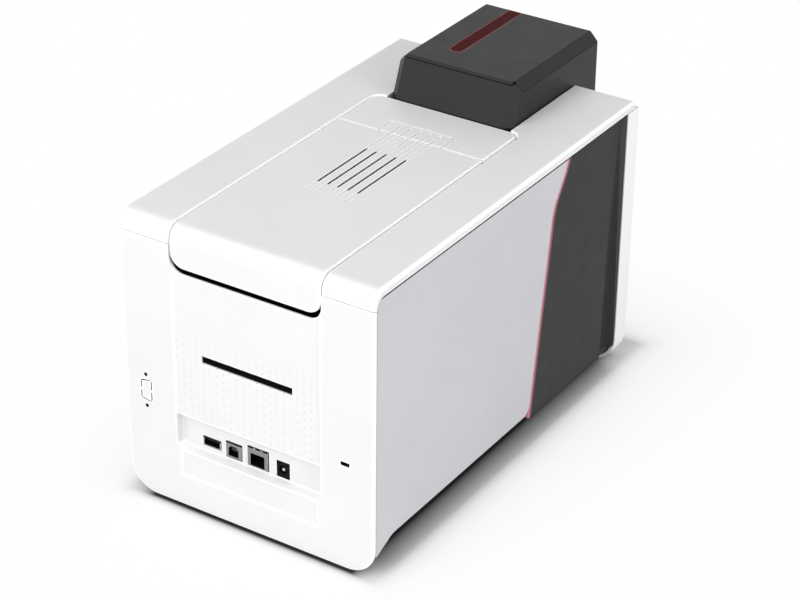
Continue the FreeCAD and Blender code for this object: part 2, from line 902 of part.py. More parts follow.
def knockout_outlines():
    """Upper and lower halves of the slot round the D-shaped knock-out."""
    thin = s.knockout_slot
    centre = half_width - s.knockout_inset
    left = centre - s.knockout_width / 2
    right = centre + s.knockout_width / 2
    outlines = []
    for side in (-1, 1):
        edge = s.knockout_z + side * s.knockout_height / 2
        inner_edge = edge - side * thin
        bridge = s.knockout_z + side * s.knockout_bridge
        slant = side * s.knockout_skew
        outlines.append([
            (left, bridge),
            (left, edge, s.knockout_corner),
            (right, edge - slant, s.knockout_corner),
            (right, bridge),
            (right - thin, bridge),
            (right - thin, inner_edge - slant),
            (left + thin, inner_edge),
            (left + thin, bridge),
        ])
    return outlines


def front_bezel():
    """White front frame round the feeder and the output opening."""
    bezel = Piece("front_bezel")

    def frame(inset):
        outer = half_width - inset
        inner = door_half + inset
        top = panel_top - inset
        return [
            (-outer, top),
            (-outer, shell_bottom + inset, s.corner_radius - inset),
            (outer, shell_bottom + inset, s.corner_radius - inset),
            (outer, top),
            (inner, top),
            (inner, s.door_low - inset),
            (-inner, s.door_low - inset),
            (-inner, top),
        ]

    bezel.pad("XZ", bezel_front, bezel_back, frame(0))
    bezel.pocket("XZ", bezel_front + s.skin, bezel_back, frame(s.skin))
    bezel.pocket("XZ", bezel_front, bezel_front + s.skin, key_outline(s.rest_gap), light_outline(0))
    bezel.chamfer_edges(
        s.bezel_edge,
        {"y": bezel_front, "z": panel_top},
        {"x": half_width, "y": bezel_front},
        {"x": -half_width, "y": bezel_front},
    )


def key_outline(margin):
    """Front view of the control key, grown by a margin."""
    half = s.key_width / 2 + margin
    return rectangle(key_x - half, key_x + half, s.key_z - half, s.key_z + half)


def light_outline(margin):
    """Front view of the light bar below the key, grown by a margin."""
    half = s.light_width / 2 + margin
    top = s.key_z - s.light_drop + margin
    return rectangle(key_x - half, key_x + half, top - s.light_length - margin * 2, top)


def control_key():
    """Square push key in the bezel, with a collar behind the skin."""
    key = Piece("control_key")
    inner = bezel_front + s.skin + s.rest_gap
    key.pad("XZ", bezel_front - s.key_proud, inner, key_outline(0))
    key.pad("XZ", inner, inner + s.skin, key_outline(s.key_collar))


def control_board():
    """Small board behind the key and the light bar, held on the bezel's side wall."""
    board = Piece("control_board")
    front = bezel_front + s.skin * 2 + s.rest_gap * 2 + s.key_travel
    low = s.key_z - s.light_drop - s.light_length - s.key_board_rise
    half = s.key_board_width / 2
    high = s.key_z + s.key_board_rise
    board.pad("XZ", front, front + s.board_wall, rectangle(
        key_x - half, half_width - s.skin - s.rest_gap, low, high,
    ))


def status_light():
    """Light guide below the key: a bar in the bezel with a flange behind it."""
    light = Piece("status_light")
    inner = bezel_front + s.skin
    light.pad("XZ", bezel_front, inner, light_outline(0))
    light.pad("XZ", inner, inner + s.skin, light_outline(s.light_flange))


def base_tray():
    """Black pan under the housing, whose long sides slope in below an upright rim."""
    tray = Piece("base_tray")
    rear = flange_front

    def section(half, floor):
        top = s.foot_height + s.tray_height
        rim = top - s.tray_rim
        return [
            (-half, top),
            (-half, rim),
            (-tray_floor_half, floor),
            (tray_floor_half, floor),
            (half, rim),
            (half, top),
        ]

    tray.pad("XZ", bezel_back, rear, section(tray_half, s.foot_height))
    tray.pocket("XZ", bezel_back + s.skin, rear - s.skin, section(tray_half - s.skin, tray_floor))


def rubber_feet():
    """Four rubber pads under the tray, each a solid of its own."""
    corners = []
    foot_x = tray_floor_half - s.foot_inset - s.foot_width / 2
    for x in (-foot_x, foot_x):
        for y in (bezel_back + s.foot_front_inset, flange_front - s.foot_rear_inset):
            foot = doc.addObject("Part::Box", f"foot_{len(corners) + 1}")
            bind(foot, "Length", s.foot_width)
            bind(foot, "Width", s.foot_length)
            bind(foot, "Height", s.foot_height)
            bind(foot, "Placement.Base.x", x - s.foot_width / 2)
            bind(foot, "Placement.Base.y", y - s.foot_length / 2)
            corners.append(foot)
    group("rubber_feet", corners)


def group(name, members):
    """One node that holds several separate solids."""
    holder = doc.addObject("Part::Compound", name)
    holder.Label = name
    holder.Links = members


def wave_foot(height):
    """Y of the piping's straight lower run at a height."""
    return rear_y - s.wave_knee + (knee_z - height) * wave_slope_share


def wave(low, shift):
    """The S-shaped line between the two side panels, from its foot to its head."""
    knee_y = rear_y - s.wave_knee + shift
    shoulder_y = rear_y - s.wave_shoulder + shift
    return [
        (wave_foot(low) + shift, low),
        (knee_y, knee_z, s.wave_knee_round),
        (shoulder_y, shoulder_z, s.wave_shoulder_round),
        (rear_y - s.wave_head + shift, panel_top),
    ]


def side_panels(side, word):
    """Grey rear panel, red piping and dark front panel of one side."""
    shift = s.piping_width / 2 + s.piping_gap
    rear_edge = rear_inside - s.panel_seam
    grey = Piece(f"{word}_rear_panel")
    line = wave(s.grey_low, shift)
    grey.pad("YZ", *side_x(side, panel_back, panel_face), [
        line[0] + (s.panel_corner,), line[1], line[2], line[3],
        (rear_edge, panel_top, s.panel_corner),
        (rear_edge, s.grey_low - s.heel_drop),
        (rear_edge - s.heel_length, s.grey_low, s.heel_round),
    ])
    grey.pad("YZ", *side_x(side, tray_half + s.rest_gap, panel_back), rectangle(
        line[0][0] + s.panel_corner * 2, rear_edge - s.heel_length * 2, s.grey_low, s.grey_low + s.skin,
    ))
    dark = Piece(f"{word}_front_panel")
    line = wave(s.dark_low, -shift)
    front_edge = bezel_back + s.panel_seam
    toe = s.dark_low - s.toe_drop
    dark.pad("YZ", *side_x(side, panel_back, panel_face), [
        line[0], line[1], line[2], line[3],
        (front_edge, panel_top),
        (front_edge, toe, s.panel_corner),
        (front_edge + s.toe_length, toe, s.toe_round),
        (front_edge + s.toe_length + s.toe_slope, s.dark_low, s.toe_round),
    ])
    block_top = panel_top - s.panel_corner
    dark.pad("YZ", *side_x(side, panel_back - s.finger_block, panel_back), rectangle(
        front_edge, front_edge + s.finger_block_width, s.dark_low, block_top,
    ))
    finger_groove(dark, side, front_edge + s.finger_inset)
    tongue_front = front_edge + s.toe_length + s.toe_slope * 2
    tongue_rear = line[0][0] - s.panel_corner
    dark.pad("YZ", *side_x(side, tray_half + s.rest_gap, panel_back), rectangle(
        tongue_front, tongue_rear, s.dark_low, s.dark_low + s.skin,
    ))
    piping = Piece(f"{word}_piping")
    half = s.piping_width / 2
    piping_face = panel_face + s.panel_inset
    front_line = wave(s.dark_low, -half)
    back_line = wave(s.dark_low, half)
    piping.pad("YZ", *side_x(side, piping_face - s.piping_depth, piping_face), front_line + back_line[::-1])


def finger_groove(panel, side, y):
    """Concave groove that runs up the panel and tapers out at the top: a cone cut about a vertical axis."""
    axis_x = panel_face + s.finger_core
    sketch = panel.sketch("XZ", -y, [[
        (axis_x * side, s.dark_low - s.overrun * 2),
        ((axis_x - s.finger_foot_radius) * side, s.dark_low - s.overrun * 2),
        ((axis_x - s.finger_core) * side, panel_top),
        (axis_x * side, panel_top),
    ]])
    groove = panel.feature("PartDesign::Groove")
    groove.Profile = sketch
    groove.ReferenceAxis = (sketch, ["Edge4"])
    groove.Angle = 360


def chassis_plates():
    """Steel side plates that carry the rollers, the lid's hinge studs and the motors."""
    front = bezel_back + s.plate_front
    ear_low = hinge_z - s.plate_ear_height
    outline = [
        (front, tray_floor),
        (plate_rear, tray_floor),
        (plate_rear, ear_low),
        (plate_rear + s.plate_ear_reach, ear_low + s.plate_ear_rise),
        (plate_rear + s.plate_ear_reach, skin_under - s.plate_ear_drop),
        (plate_rear, skin_under),
        (front + s.plate_corner, skin_under),
        (front, skin_under - s.plate_corner),
    ]

    def window(y, z, half):
        return rectangle(y - half, y + half, z - half, z + half)

    stud_end = lid_half - s.hinge_ear_inset
    for side, word in ((-1, "left"), (1, "right")):
        plate = Piece(f"{word}_chassis_plate")
        plate.pad("YZ", *side_x(side, plate_half, plate_outside), outline)
        bore = s.shaft_radius + s.running_fit
        windows = [window(y, roller_z, bore) for y in (pick_y, s.entry_y, s.platen_y, s.exit_y)]
        windows += [window(y, upper_z, s.upper_radius + s.running_fit) for y in (s.entry_y, s.exit_y)]
        motor_place = (s.platen_y, motor_z) if side > 0 else (s.takeup_y, spool_pinion_z)
        windows.append(window(*motor_place, s.motor_window / 2))
        plate.pocket("YZ", *side_x(side, plate_half, plate_outside), *windows)
        plate.pad("YZ", *side_x(side, stud_end, plate_half), circle(hinge_y, hinge_z, s.hinge_pin_radius))


def hexagon_bar(name, radius, length):
    """Hexagonal bar that stands on the origin, to be placed by its caller."""
    bar = doc.addObject("Part::Prism", name)
    bar.Polygon = 6
    bind(bar, "Circumradius", radius)
    bind(bar, "Height", length)
    return bar


def tie_bars():
    """Hexagonal bars that hold the side plates apart."""
    low = tray_floor + s.tie_radius * 3
    front = bezel_back + s.plate_front + s.tie_radius * 3
    rear = plate_rear - s.tie_radius * 3
    high = guide_bottom - s.tie_radius * 3
    places = [(front, low), (rear, low), (rear, spool_z - s.plate_corner), (front, high)]
    bars = []
    for number, (y, z) in enumerate(places, start=1):
        bar = hexagon_bar(f"tie_bar_{number}", s.tie_radius, plate_half * 2)
        bar.Placement = FreeCAD.Placement(Vector(), FreeCAD.Rotation(Vector(0, 1, 0), 90))
        bind(bar, "Placement.Base.x", -plate_half)
        bind(bar, "Placement.Base.y", y)
        bind(bar, "Placement.Base.z", z)
        bars.append(bar)
    group("tie_bars", bars)


def card_guide():
    """Floor of the card path, with a window for each roller and a rail along each card edge."""
    guide = Piece("card_guide")
    half = plate_half - s.guide_fit
    front = bezel_back + s.plate_front
    rear = flange_front - s.rest_gap
    guide.pad("XY", guide_bottom, guide_top, rectangle(-half, half, front, rear))
    rail_inner = (s.card_width + s.card_play) / 2
    for side in (-1, 1):
        rail = rectangle(rail_inner, rail_inner + s.rail_wall, s.entry_y - s.guide_window_length, rear)
        guide.pad("XY", guide_top, guide_top + s.rail_height, mirrored(rail, side))
    window_half = s.guide_window / 2
    reach = s.guide_window_length / 2
    windows = [
        rectangle(-window_half, window_half, y - reach, y + reach)
        for y in (pick_y, s.entry_y, s.platen_y, s.exit_y)
    ]
    guide.pocket("XY", guide_bottom, guide_top + s.rail_height, *windows)


def card_throat():
    """Black frame behind the rear card slot, which leads the card out."""
    throat = Piece("rear_card_throat")
    half = s.slot_width / 2 + s.skin
    low = s.path_height - s.slot_height / 2
    high = low + s.slot_height
    front = flange_front + s.rest_gap * 2
    throat.pad("XZ", front, rear_inside, rectangle(-half, half, low - s.skin, high + s.skin))
    throat.pocket("XZ", front, rear_inside, rectangle(-s.slot_width / 2, s.slot_width / 2, low, high))


def driven_roller(name, y, tyre_radius, teeth=0):
    """Steel shaft with a rubber tyre and a belt pulley, and on the platen also the gear."""
    roller = Piece(name)
    pulley_high = pulley_low + s.belt_width + s.rest_gap * 2
    tyre_half = s.tyre_length / 2
    roller.pad("YZ", -plate_outside - s.shaft_end, pulley_high, circle(0, 0, s.shaft_radius))
    roller.pad("YZ", -tyre_half, tyre_half, circle(0, 0, tyre_radius))
    roller.pad("YZ", pulley_low, pulley_high, circle(0, 0, s.pulley_radius))
    if teeth:
        add_gear(roller, teeth, gear_low)
    roller.place(0, y, roller_z, 180 / teeth if teeth else 0)


def upper_roller(name, y):
    """A free roller above the card path, whose ends run in the side plates."""
    roller = Piece(name)
    end = plate_outside + s.shaft_end / 2
    roller.pad("YZ", -end, end, circle(0, 0, s.upper_radius))
    roller.place(0, y, upper_z)


def add_gear(piece, teeth, low):
    """Teeth and disc of a spur gear about the X axis, fused to its shaft. One tooth points up."""
    high = low + s.gear_width
    pitch_radius = s.gear_module * (teeth / 2)
    tip = pitch_radius + s.gear_module
    foot = pitch_radius - s.gear_module * tooth_depth_share
    pitch = s.gear_module * math.pi
    piece.pad("YZ", low, high, circle(0, 0, foot))
    tooth = piece.pad("YZ", low, high, [
        (-pitch * tooth_foot_share, foot - s.gear_module),
        (pitch * tooth_foot_share, foot - s.gear_module),
        (pitch * tooth_foot_share, foot),
        (pitch * tooth_tip_share, tip),
        (-pitch * tooth_tip_share, tip),
        (-pitch * tooth_foot_share, foot),
    ])
    doc.recompute()
    piece.repeat_round([tooth], "x", teeth)


def drive_pinion():
    """Pinion on the drive motor's shaft."""
    pinion = Piece("drive_pinion")
    inner_end = plate_half - s.motor_shaft_depth + s.rest_gap
    pinion.pad("YZ", inner_end, gear_low, circle(0, 0, s.motor_shaft_radius))
    add_gear(pinion, PINION_TEETH, gear_low)
    pinion.place(0, s.platen_y, motor_z)


def spool_pinion():
    """Pinion on the ribbon motor's shaft, inside the left plate."""
    pinion = Piece("spool_pinion")
    outer_end = plate_outside + s.motor_shaft_depth - s.rest_gap
    pinion.pad("YZ", -outer_end, -spool_gear_high, circle(0, 0, s.motor_shaft_radius))
    add_gear(pinion, SPOOL_PINION_TEETH, -spool_gear_high)
    pinion.place(0, s.takeup_y, spool_pinion_z)


def drive_belt():
    """Toothed belt round the first and last pulley, past the two between them."""
    belt = Piece("drive_belt")
    inner = s.pulley_radius + s.belt_fit
    outer = inner + s.belt_wall
    low = pulley_low + s.rest_gap

    def loop(radius):
        low_z = roller_z - radius
        high_z = roller_z + radius
        return rectangle(pick_y - radius, s.exit_y + radius, low_z, high_z, radius - s.running_fit)

    belt.pad("YZ", low, low + s.belt_width, loop(outer), loop(inner))


def shaft_bore():
    """Square blind bore in a motor's face, which the round shaft turns in."""
    half = s.motor_shaft_radius + s.running_fit
    return rectangle(-half, half, -half, half)


def drive_motor():
    """Stepper motor on the inside of the right plate, under the platen."""
    motor = Piece("drive_motor")
    half = s.motor_size / 2
    motor.pad("YZ", -s.motor_length, 0, rectangle(-half, half, -half, half))
    motor.pocket("YZ", -s.motor_shaft_depth, 0, shaft_bore())
    motor.place(plate_half, s.platen_y, motor_z)


def ribbon_motor():
    """Small square motor on the outside of the left plate, which winds the ribbon."""
    motor = Piece("ribbon_motor")
    half = s.ribbon_motor_width / 2
    motor.pad("YZ", -s.ribbon_motor_length, 0, rectangle(-half, half, -half, half))
    motor.pocket("YZ", -s.motor_shaft_depth, 0, shaft_bore())
    motor.place(-plate_outside, s.takeup_y, spool_pinion_z)


def ribbon_cradles():
    """Two walls on the card guide, with open slots into which the spools drop from above."""
    front = s.takeup_y - s.cradle_front
    rear = s.supply_y + s.cradle_rear
    top = spool_z + s.cradle_top
    reach = s.journal_radius + s.spool_fit
    for side, word in ((-1, "left"), (1, "right")):
        cradle = Piece(f"{word}_ribbon_cradle")
        cradle.pad("YZ", *side_x(side, cradle_inside, cradle_outside), [
            (front, guide_top),
            (rear, guide_top),
            (rear, top),
            (front, top),
        ])
        for y in (s.takeup_y, s.supply_y):
            cradle.pocket("YZ", *side_x(side, cradle_inside, cradle_outside), [
                (y - reach, top + s.overrun),
                (y - reach, spool_z - reach),
                (y + reach, spool_z - reach),
                (y + reach, top + s.overrun),
            ])


def ribbon_spool(word, y, film_radius, drive_teeth=0):
    """Spool core that rests in the cradles, its wound film and, on one of them, a gear."""
    core = Piece(f"{word}_core")
    right_end = cradle_outside + s.journal_length
    left_end = spool_gear_low if drive_teeth else right_end
    core.pad("YZ", -left_end, right_end, circle(0, 0, s.journal_radius))
    if drive_teeth:
        add_gear(core, drive_teeth, -spool_gear_high)
    core.place(0, y, spool_z, 180 / drive_teeth if drive_teeth else 0)
    film = Piece(f"{word}_film")
    film_half = s.film_width / 2
    film.pad("YZ", -film_half, film_half, circle(0, 0, film_radius), circle(0, 0, s.journal_radius))
    film.place(0, y, spool_z)


def print_head():
    """Thermal head with its finned heat sink, on a bracket under the lid."""
    head_low = s.path_height + s.head_gap
    head_high = head_low + s.head_height
    sink_high = head_high + s.sink_height
    front = s.platen_y - s.head_depth / 2
    rear = s.platen_y + s.head_depth / 2
    half = s.head_width / 2
    head = Piece("print_head")
    head.pad("XZ", front, rear, rectangle(-half, half, head_low, head_high))
    head.round_edges(s.head_height / 2, {"y": front, "z": head_low})
    sink = Piece("heat_sink")
    sink_bottom = head_high
    sink.pad("YZ", -half, half, rectangle(front, rear, sink_bottom, sink_bottom + s.sink_base))
    first = front
    fin = sink.pad("YZ", -half, half, rectangle(first, first + s.fin_wall, sink_bottom, sink_high))
    doc.recompute()
    fins = int((s.head_depth.number - s.fin_wall.number) // s.fin_pitch.number) + 1
    sink.repeat([fin], "y", fins, s.fin_pitch)
    bracket = Piece("print_head_bracket")
    web = s.bracket_wall
    bracket_half = s.bracket_width / 2
    foot = rear + web - s.bracket_foot
    bracket.pad("YZ", -bracket_half, bracket_half, [
        (rear, sink_bottom),
        (rear + web, sink_bottom),
        (rear + web, skin_under),
        (foot, skin_under),
        (foot, skin_under - web),
        (rear, skin_under - web),
    ])
    for side in (-1, 1):
        bracket.pad("YZ", *side_x(side, bracket_half - web, bracket_half), [
            (rear, sink_high),
            (rear, skin_under - web),
            (foot, skin_under - web),
        ])


def main_board():
    """Circuit board on four posts, with the sockets along its rear edge."""
    board = Piece("main_board")
    half = s.board_width / 2
    front = s.platen_y + s.motor_size / 2 + s.motor_clearance
    rear = recess_floor - s.skin - s.rest_gap
    board.pad("XY", s.board_height, board_top, rectangle(-half, half, front, rear))
    posts = []
    for x in (s.post_inset - half, half - s.post_inset):
        for y in (front + s.post_inset, rear - s.post_inset * 4):
            post = hexagon_bar(f"board_post_{len(posts) + 1}", s.post_radius, s.board_height - tray_floor)
            bind(post, "Placement.Base.x", x)
            bind(post, "Placement.Base.y", y)
            bind(post, "Placement.Base.z", tray_floor)
            posts.append(post)
    group("board_posts", posts)


def socket_blocks():
    """The four sockets, open to the rear, with their tongues and pins."""
    face = recess_floor + s.socket_proud
    inside = recess_floor - s.skin - s.rest_gap
    wall = s.socket_wall
    for name, (centre, width, low, height) in sockets().items():
        block = Piece(name)
        left = centre - width / 2
        right = centre + width / 2
        front = face - s.socket_depth
        block.pad("XZ", front, face, rectangle(left, right, low, low + height))
        if name == "usb_a_socket":
            block.pad("XZ", front, inside, rectangle(left + wall, right - wall, board_top, low))
        if name == "power_jack":
            bore_z = low + height / 2
            block.pocket("XZ", front + wall * 2, face, circle(centre, bore_z, s.jack_bore))
            block.pad("XZ", front + wall, face - wall, rectangle(
                centre - s.jack_pin, centre + s.jack_pin, bore_z - s.jack_pin, bore_z + s.jack_pin,
            ))
            continue
        hollow_low = low + wall
        hollow_high = low + height - wall
        mouth = rectangle(left + wall, right - wall, hollow_low, hollow_high)
        block.pocket("XZ", front + wall * 2, face, mouth)
        tongue_half = width / 4
        if name == "usb_a_socket":
            tongue = rectangle(
                left + wall * 2, right - wall * 2, hollow_high - wall * tongue_drop_share, hollow_high - wall,
            )
        elif name == "usb_b_socket":
            tongue = rectangle(
                centre - tongue_half, centre + tongue_half,
                low + height * tongue_low_share, low + height * tongue_high_share,
            )
        else:
            tongue = rectangle(left + wall * 2, right - wall * 2, hollow_high - wall * 2, hollow_high - wall)
        block.pad("XZ", front + wall, face - wall * 2, tongue)


def feeder_hopper():
    """Black hopper: leaning rear wall, card well, corner posts for the cover's pins."""
    hopper = Piece("feeder_hopper")
    low = guide_top
    wall_top = bead_z
    lean_foot = s.cover_top
    hopper.pad("YZ", -feeder_half, feeder_half, [
        (front_y, low),
        (front_y, hopper_top),
        (post_front, hopper_top),
        (post_front, wall_top),
        (wall_top_y, wall_top),
        (feeder_rear, lean_foot),
        (feeder_rear, low),
    ])
    hopper.pocket("YZ", -feeder_top_half, feeder_top_half, rectangle(
        post_front, wall_top_y - s.feeder_wall, hopper_top, wall_top,
    ))
    for side in (-1, 1):
        bevel = [
            (feeder_half, bevel_low),
            (feeder_top_half, s.feeder_top),
            (feeder_half + s.overrun, s.feeder_top),
            (feeder_half + s.overrun, bevel_low),
        ]
        hopper.pocket("XZ", post_front - s.overrun, feeder_rear + s.overrun, mirrored(bevel, side))
    well = rectangle(-well_half, well_half, well_front, well_rear)
    hopper.pocket("XY", low, hopper_top, well)
    shell_low = low
    shell_high = hopper_top - s.skin
    inner_half = feeder_half - s.skin
    for side in (-1, 1):
        pocket = rectangle(well_half + s.skin, inner_half, front_y + s.skin, well_rear)
        hopper.pocket("XY", shell_low, shell_high, mirrored(pocket, side))
    hopper.pocket("XY", shell_low, shell_high, rectangle(
        -well_half, well_half, front_y + s.skin, well_front - s.skin,
    ))
    exit_low = guide_top
    hopper.pocket("XZ", well_rear - s.skin, feeder_rear, rectangle(
        -well_half, well_half, exit_low, s.path_height + s.rail_height,
    ))
    hopper.chamfer_edges(
        s.feeder_corner,
        {"x": feeder_half, "y": feeder_rear},
        {"x": -feeder_half, "y": feeder_rear},
        {"x": feeder_half, "z": (lean_foot, bevel_low)},
        {"x": -feeder_half, "z": (lean_foot, bevel_low)},
    )
    for side in (-1, 1):
        pin_x = side_x(side, feeder_top_half - s.feeder_pin_length + s.rest_gap, feeder_top_half)
        hopper.pad("YZ", *pin_x, circle(bead_y, bead_z, s.feeder_pin_radius))


def feeder_profile(inset):
    """Bevelled cross-section of the feeder cover's outside, drawn in by inset."""
    slope = s.bevel_width
    return [
        (-feeder_half + inset, bevel_low),
        (-feeder_half + slope + inset / 2, s.feeder_top - inset),
        (feeder_half - slope - inset / 2, s.feeder_top - inset),
        (feeder_half - inset, bevel_low),
    ]


def feeder_cover():
    """Hinged cover of the feeder, with bevelled long edges and a round bead at the hinge."""
    cover = Piece("feeder_cover")
    flange_rear = post_front - s.bead_gap
    bead_half = feeder_top_half - s.rest_gap
    cover.pad("XZ", front_y, flange_rear, feeder_profile(0))
    cover.pad("YZ", -bead_half, bead_half, circle(bead_y, bead_z, s.bead_radius))
    web = rectangle(flange_rear, bead_y, s.feeder_top - s.skin, s.feeder_top)
    cover.pad("YZ", -bead_half, bead_half, web)
    cover.pocket("XZ", front_y + s.skin, flange_rear, feeder_profile(s.skin))
    for side in (-1, 1):
        reach = s.feeder_pin_radius + s.running_fit
        cover.pocket("YZ", *side_x(side, bead_half - s.feeder_pin_length, bead_half), rectangle(
            bead_y - reach, bead_y + reach, bead_z - reach, bead_z + reach,
        ))
    cover.round_edges(s.feeder_front_round, {"y": front_y, "z": s.feeder_top})
    cover.pocket("XY", s.feeder_top - s.window_wall, s.feeder_top, window_outline())


def window_outline():
    """Plan of the red window strip, round at its rear end."""
    half = s.window_width / 2
    rear = front_y + s.window_length
    return [
        (s.window_x - half, front_y),
        (s.window_x + half, front_y),
        (s.window_x + half, rear, half - s.running_fit),
        (s.window_x - half, rear, half - s.running_fit),
    ]


def feeder_window():
    window = Piece("feeder_window")
    window.pad("XY", s.feeder_top - s.window_wall, s.feeder_top, window_outline())
    window.round_edges(s.feeder_front_round, {"y": front_y, "z": s.feeder_top})


def card_weight():
    """Weight plate that rides on the stack of cards in the well."""
    weight = Piece("card_weight")
    low = s.path_height + s.weight_rest
    half = well_half - s.weight_clearance
    centre_y = (well_front + well_rear) / 2
    weight.pad("XY", low, low + s.weight_thickness, rectangle(
        -half, half, well_front + s.weight_clearance, well_rear - s.weight_clearance,
    ))
    grip_low = low + s.weight_thickness
    weight.pad("XY", grip_low, grip_low + s.grip_height, rectangle(
        -s.grip_length / 2, s.grip_length / 2, centre_y - s.grip_width / 2, centre_y + s.grip_width / 2,
    ))


def output_bin():
    """Black bin in the front opening, where printed cards land."""
    tray = Piece("output_bin")
    front = bezel_front
    rear = front + s.bin_length
    wall = s.bin_wall
    tray.pad("XY", s.bin_low, bin_top, rectangle(-bin_half - wall, bin_half + wall, front, rear))
    tray.pocket("XY", s.bin_low + wall, bin_top, rectangle(-bin_half, bin_half, front, rear - wall))
    face_half = door_half - s.rest_gap
    for side in (-1, 1):
        cheek = rectangle(bin_half, face_half, s.door_low + s.rest_gap, guide_top)
        tray.pad("XZ", front, front + wall, mirrored(cheek, side))
    apron = rectangle(-face_half, face_half, s.door_low + s.rest_gap, s.bin_low + wall)
    tray.pad("XZ", front, front + wall, apron)
    half = s.flap_width / 2
    axis_y = bezel_front - s.flap_bead - s.rest_gap
    inner = half + s.rest_gap
    ear = [
        (axis_y - s.flap_bead, flap_z),
        (axis_y, flap_z - s.flap_bead),
        (front + wall, flap_z - s.flap_bead),
        (front + wall, flap_z + s.flap_bead),
        (axis_y, flap_z + s.flap_bead),
    ]
    for side in (-1, 1):
        tray.pad("YZ", *side_x(side, inner, inner + s.skin), ear)
        pin_x = side_x(side, half - s.flap_pin_length / 2 + s.rest_gap, inner)
        tray.pad("YZ", *pin_x, circle(axis_y, flap_z, s.flap_pin_radius))


def output_flap():
    """Smoked flap in front of the bin, hinged along its lower edge."""
    flap = Piece("output_flap")
    half = s.flap_width / 2
    axis_y = bezel_front - s.flap_bead - s.rest_gap
    flap.pad("YZ", -half, half, circle(axis_y, flap_z, s.flap_bead))
    flap.pad("YZ", -half, half, rectangle(
        axis_y - s.flap_thickness / 2, axis_y + s.flap_thickness / 2, flap_z, flap_z + s.flap_height,
    ))
    for side in (-1, 1):
        reach = s.flap_pin_radius + s.running_fit
        flap.pocket("YZ", *side_x(side, half - s.flap_pin_length / 2, half), rectangle(
            axis_y - reach, axis_y + reach, flap_z - reach, flap_z + reach,
        ))


top_cover()
lid()
bridge_cover()
release_button()
rear_housing()
front_bezel()
control_key()
control_board()
status_light()
base_tray()
rubber_feet()
side_panels(-1, "left")
side_panels(1, "right")
chassis_plates()
tie_bars()
card_guide()
card_throat()
driven_roller("pick_roller", pick_y, s.tyre_radius)
driven_roller("entry_roller", s.entry_y, s.tyre_radius)
driven_roller("platen_roller", s.platen_y, s.platen_radius, PLATEN_TEETH)
driven_roller("exit_roller", s.exit_y, s.tyre_radius)
upper_roller("cleaning_roller", s.entry_y)
upper_roller("exit_pinch_roller", s.exit_y)
drive_belt()
drive_motor()
drive_pinion()
ribbon_motor()
spool_pinion()
ribbon_cradles()
ribbon_spool("supply", s.supply_y, s.supply_film_radius)
ribbon_spool("takeup", s.takeup_y, s.takeup_film_radius, SPOOL_GEAR_TEETH)
print_head()
main_board()
socket_blocks()
feeder_hopper()
feeder_cover()
feeder_window()
card_weight()
output_bin()
output_flap()
doc.recompute()

# Check every object and write one file for each piece
members = {member for holder in doc.Objects if holder.TypeId == "Part::Compound" for member in holder.Links}
failed = [item.Name for item in doc.Objects if {"Invalid", "Error"} & set(item.State)]
pieces = [
    item for item in doc.Objects
    if item.TypeId in ("PartDesign::Body", "Part::Compound") and item not in members
]
failed += [item.Name for item in pieces if item.Shape.isNull() or not item.Shape.isValid()]
if failed:
    raise RuntimeError("failed objects: " + ", ".join(failed))
os.makedirs("parts", exist_ok=True)
for item in pieces:
    item.Shape.exportStep(f"parts/{item.Label}.step")
print(len(pieces), "pieces written")
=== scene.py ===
import math

import bmesh
import bpy
from mathutils import Matrix, Vector


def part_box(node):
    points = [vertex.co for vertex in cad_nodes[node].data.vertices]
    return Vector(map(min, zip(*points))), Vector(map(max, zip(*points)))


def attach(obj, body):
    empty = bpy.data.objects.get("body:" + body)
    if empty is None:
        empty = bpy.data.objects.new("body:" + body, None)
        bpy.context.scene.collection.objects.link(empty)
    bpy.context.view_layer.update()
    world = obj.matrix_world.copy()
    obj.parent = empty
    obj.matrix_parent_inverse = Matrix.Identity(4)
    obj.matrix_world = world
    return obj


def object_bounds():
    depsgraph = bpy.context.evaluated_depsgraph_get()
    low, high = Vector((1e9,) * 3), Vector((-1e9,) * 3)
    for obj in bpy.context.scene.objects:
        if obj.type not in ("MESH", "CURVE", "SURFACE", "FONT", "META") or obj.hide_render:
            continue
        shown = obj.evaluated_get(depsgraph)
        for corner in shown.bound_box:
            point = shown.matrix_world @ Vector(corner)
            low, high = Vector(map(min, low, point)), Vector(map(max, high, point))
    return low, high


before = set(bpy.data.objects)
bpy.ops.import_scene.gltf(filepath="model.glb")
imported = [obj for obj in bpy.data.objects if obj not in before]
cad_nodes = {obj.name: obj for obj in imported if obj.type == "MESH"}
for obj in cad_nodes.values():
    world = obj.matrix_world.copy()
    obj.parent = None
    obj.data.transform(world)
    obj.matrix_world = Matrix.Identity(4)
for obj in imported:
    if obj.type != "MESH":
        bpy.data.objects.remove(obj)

cad_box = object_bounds()

# Sizes in metres, the case's own from the frame
MM = 0.001
half_width = cad_box[1][0]
rear_y = cad_box[1][1]
cover_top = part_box("top_cover")[1][2]

# Edges and relief
edge_round = 0.45 * MM
fine_round = 0.2 * MM
# Reach of the painted highlight along the white shell's edges and seams
edge_highlight_reach = 2.2 * MM
# Reach of the painted highlight along the window's border
window_highlight_reach = 1.3 * MM
piping_round = 1.5 * MM
metal_bump = 0.01 * MM
rib_bump = 0.02 * MM

# Dimples of the rear face: their field, and the triangle's reach, slant and sharpness in a cell
dimple_column = 5.5 * MM
dimple_row = 6.35 * MM
dimple_low = 77.5 * MM
dimple_high = 150 * MM
dimple_fade = 12 * MM
dimple_half = 59.5 * MM
dimple_plane = 186.8 * MM
dimple_depth = 0.07 * MM
dimple_reach = 0.36
dimple_slant = 1.6
dimple_sharpness = 9
# Painted shade in the dimples, as a share of the white
dimple_shade = 0.92
cell_middle = 0.5

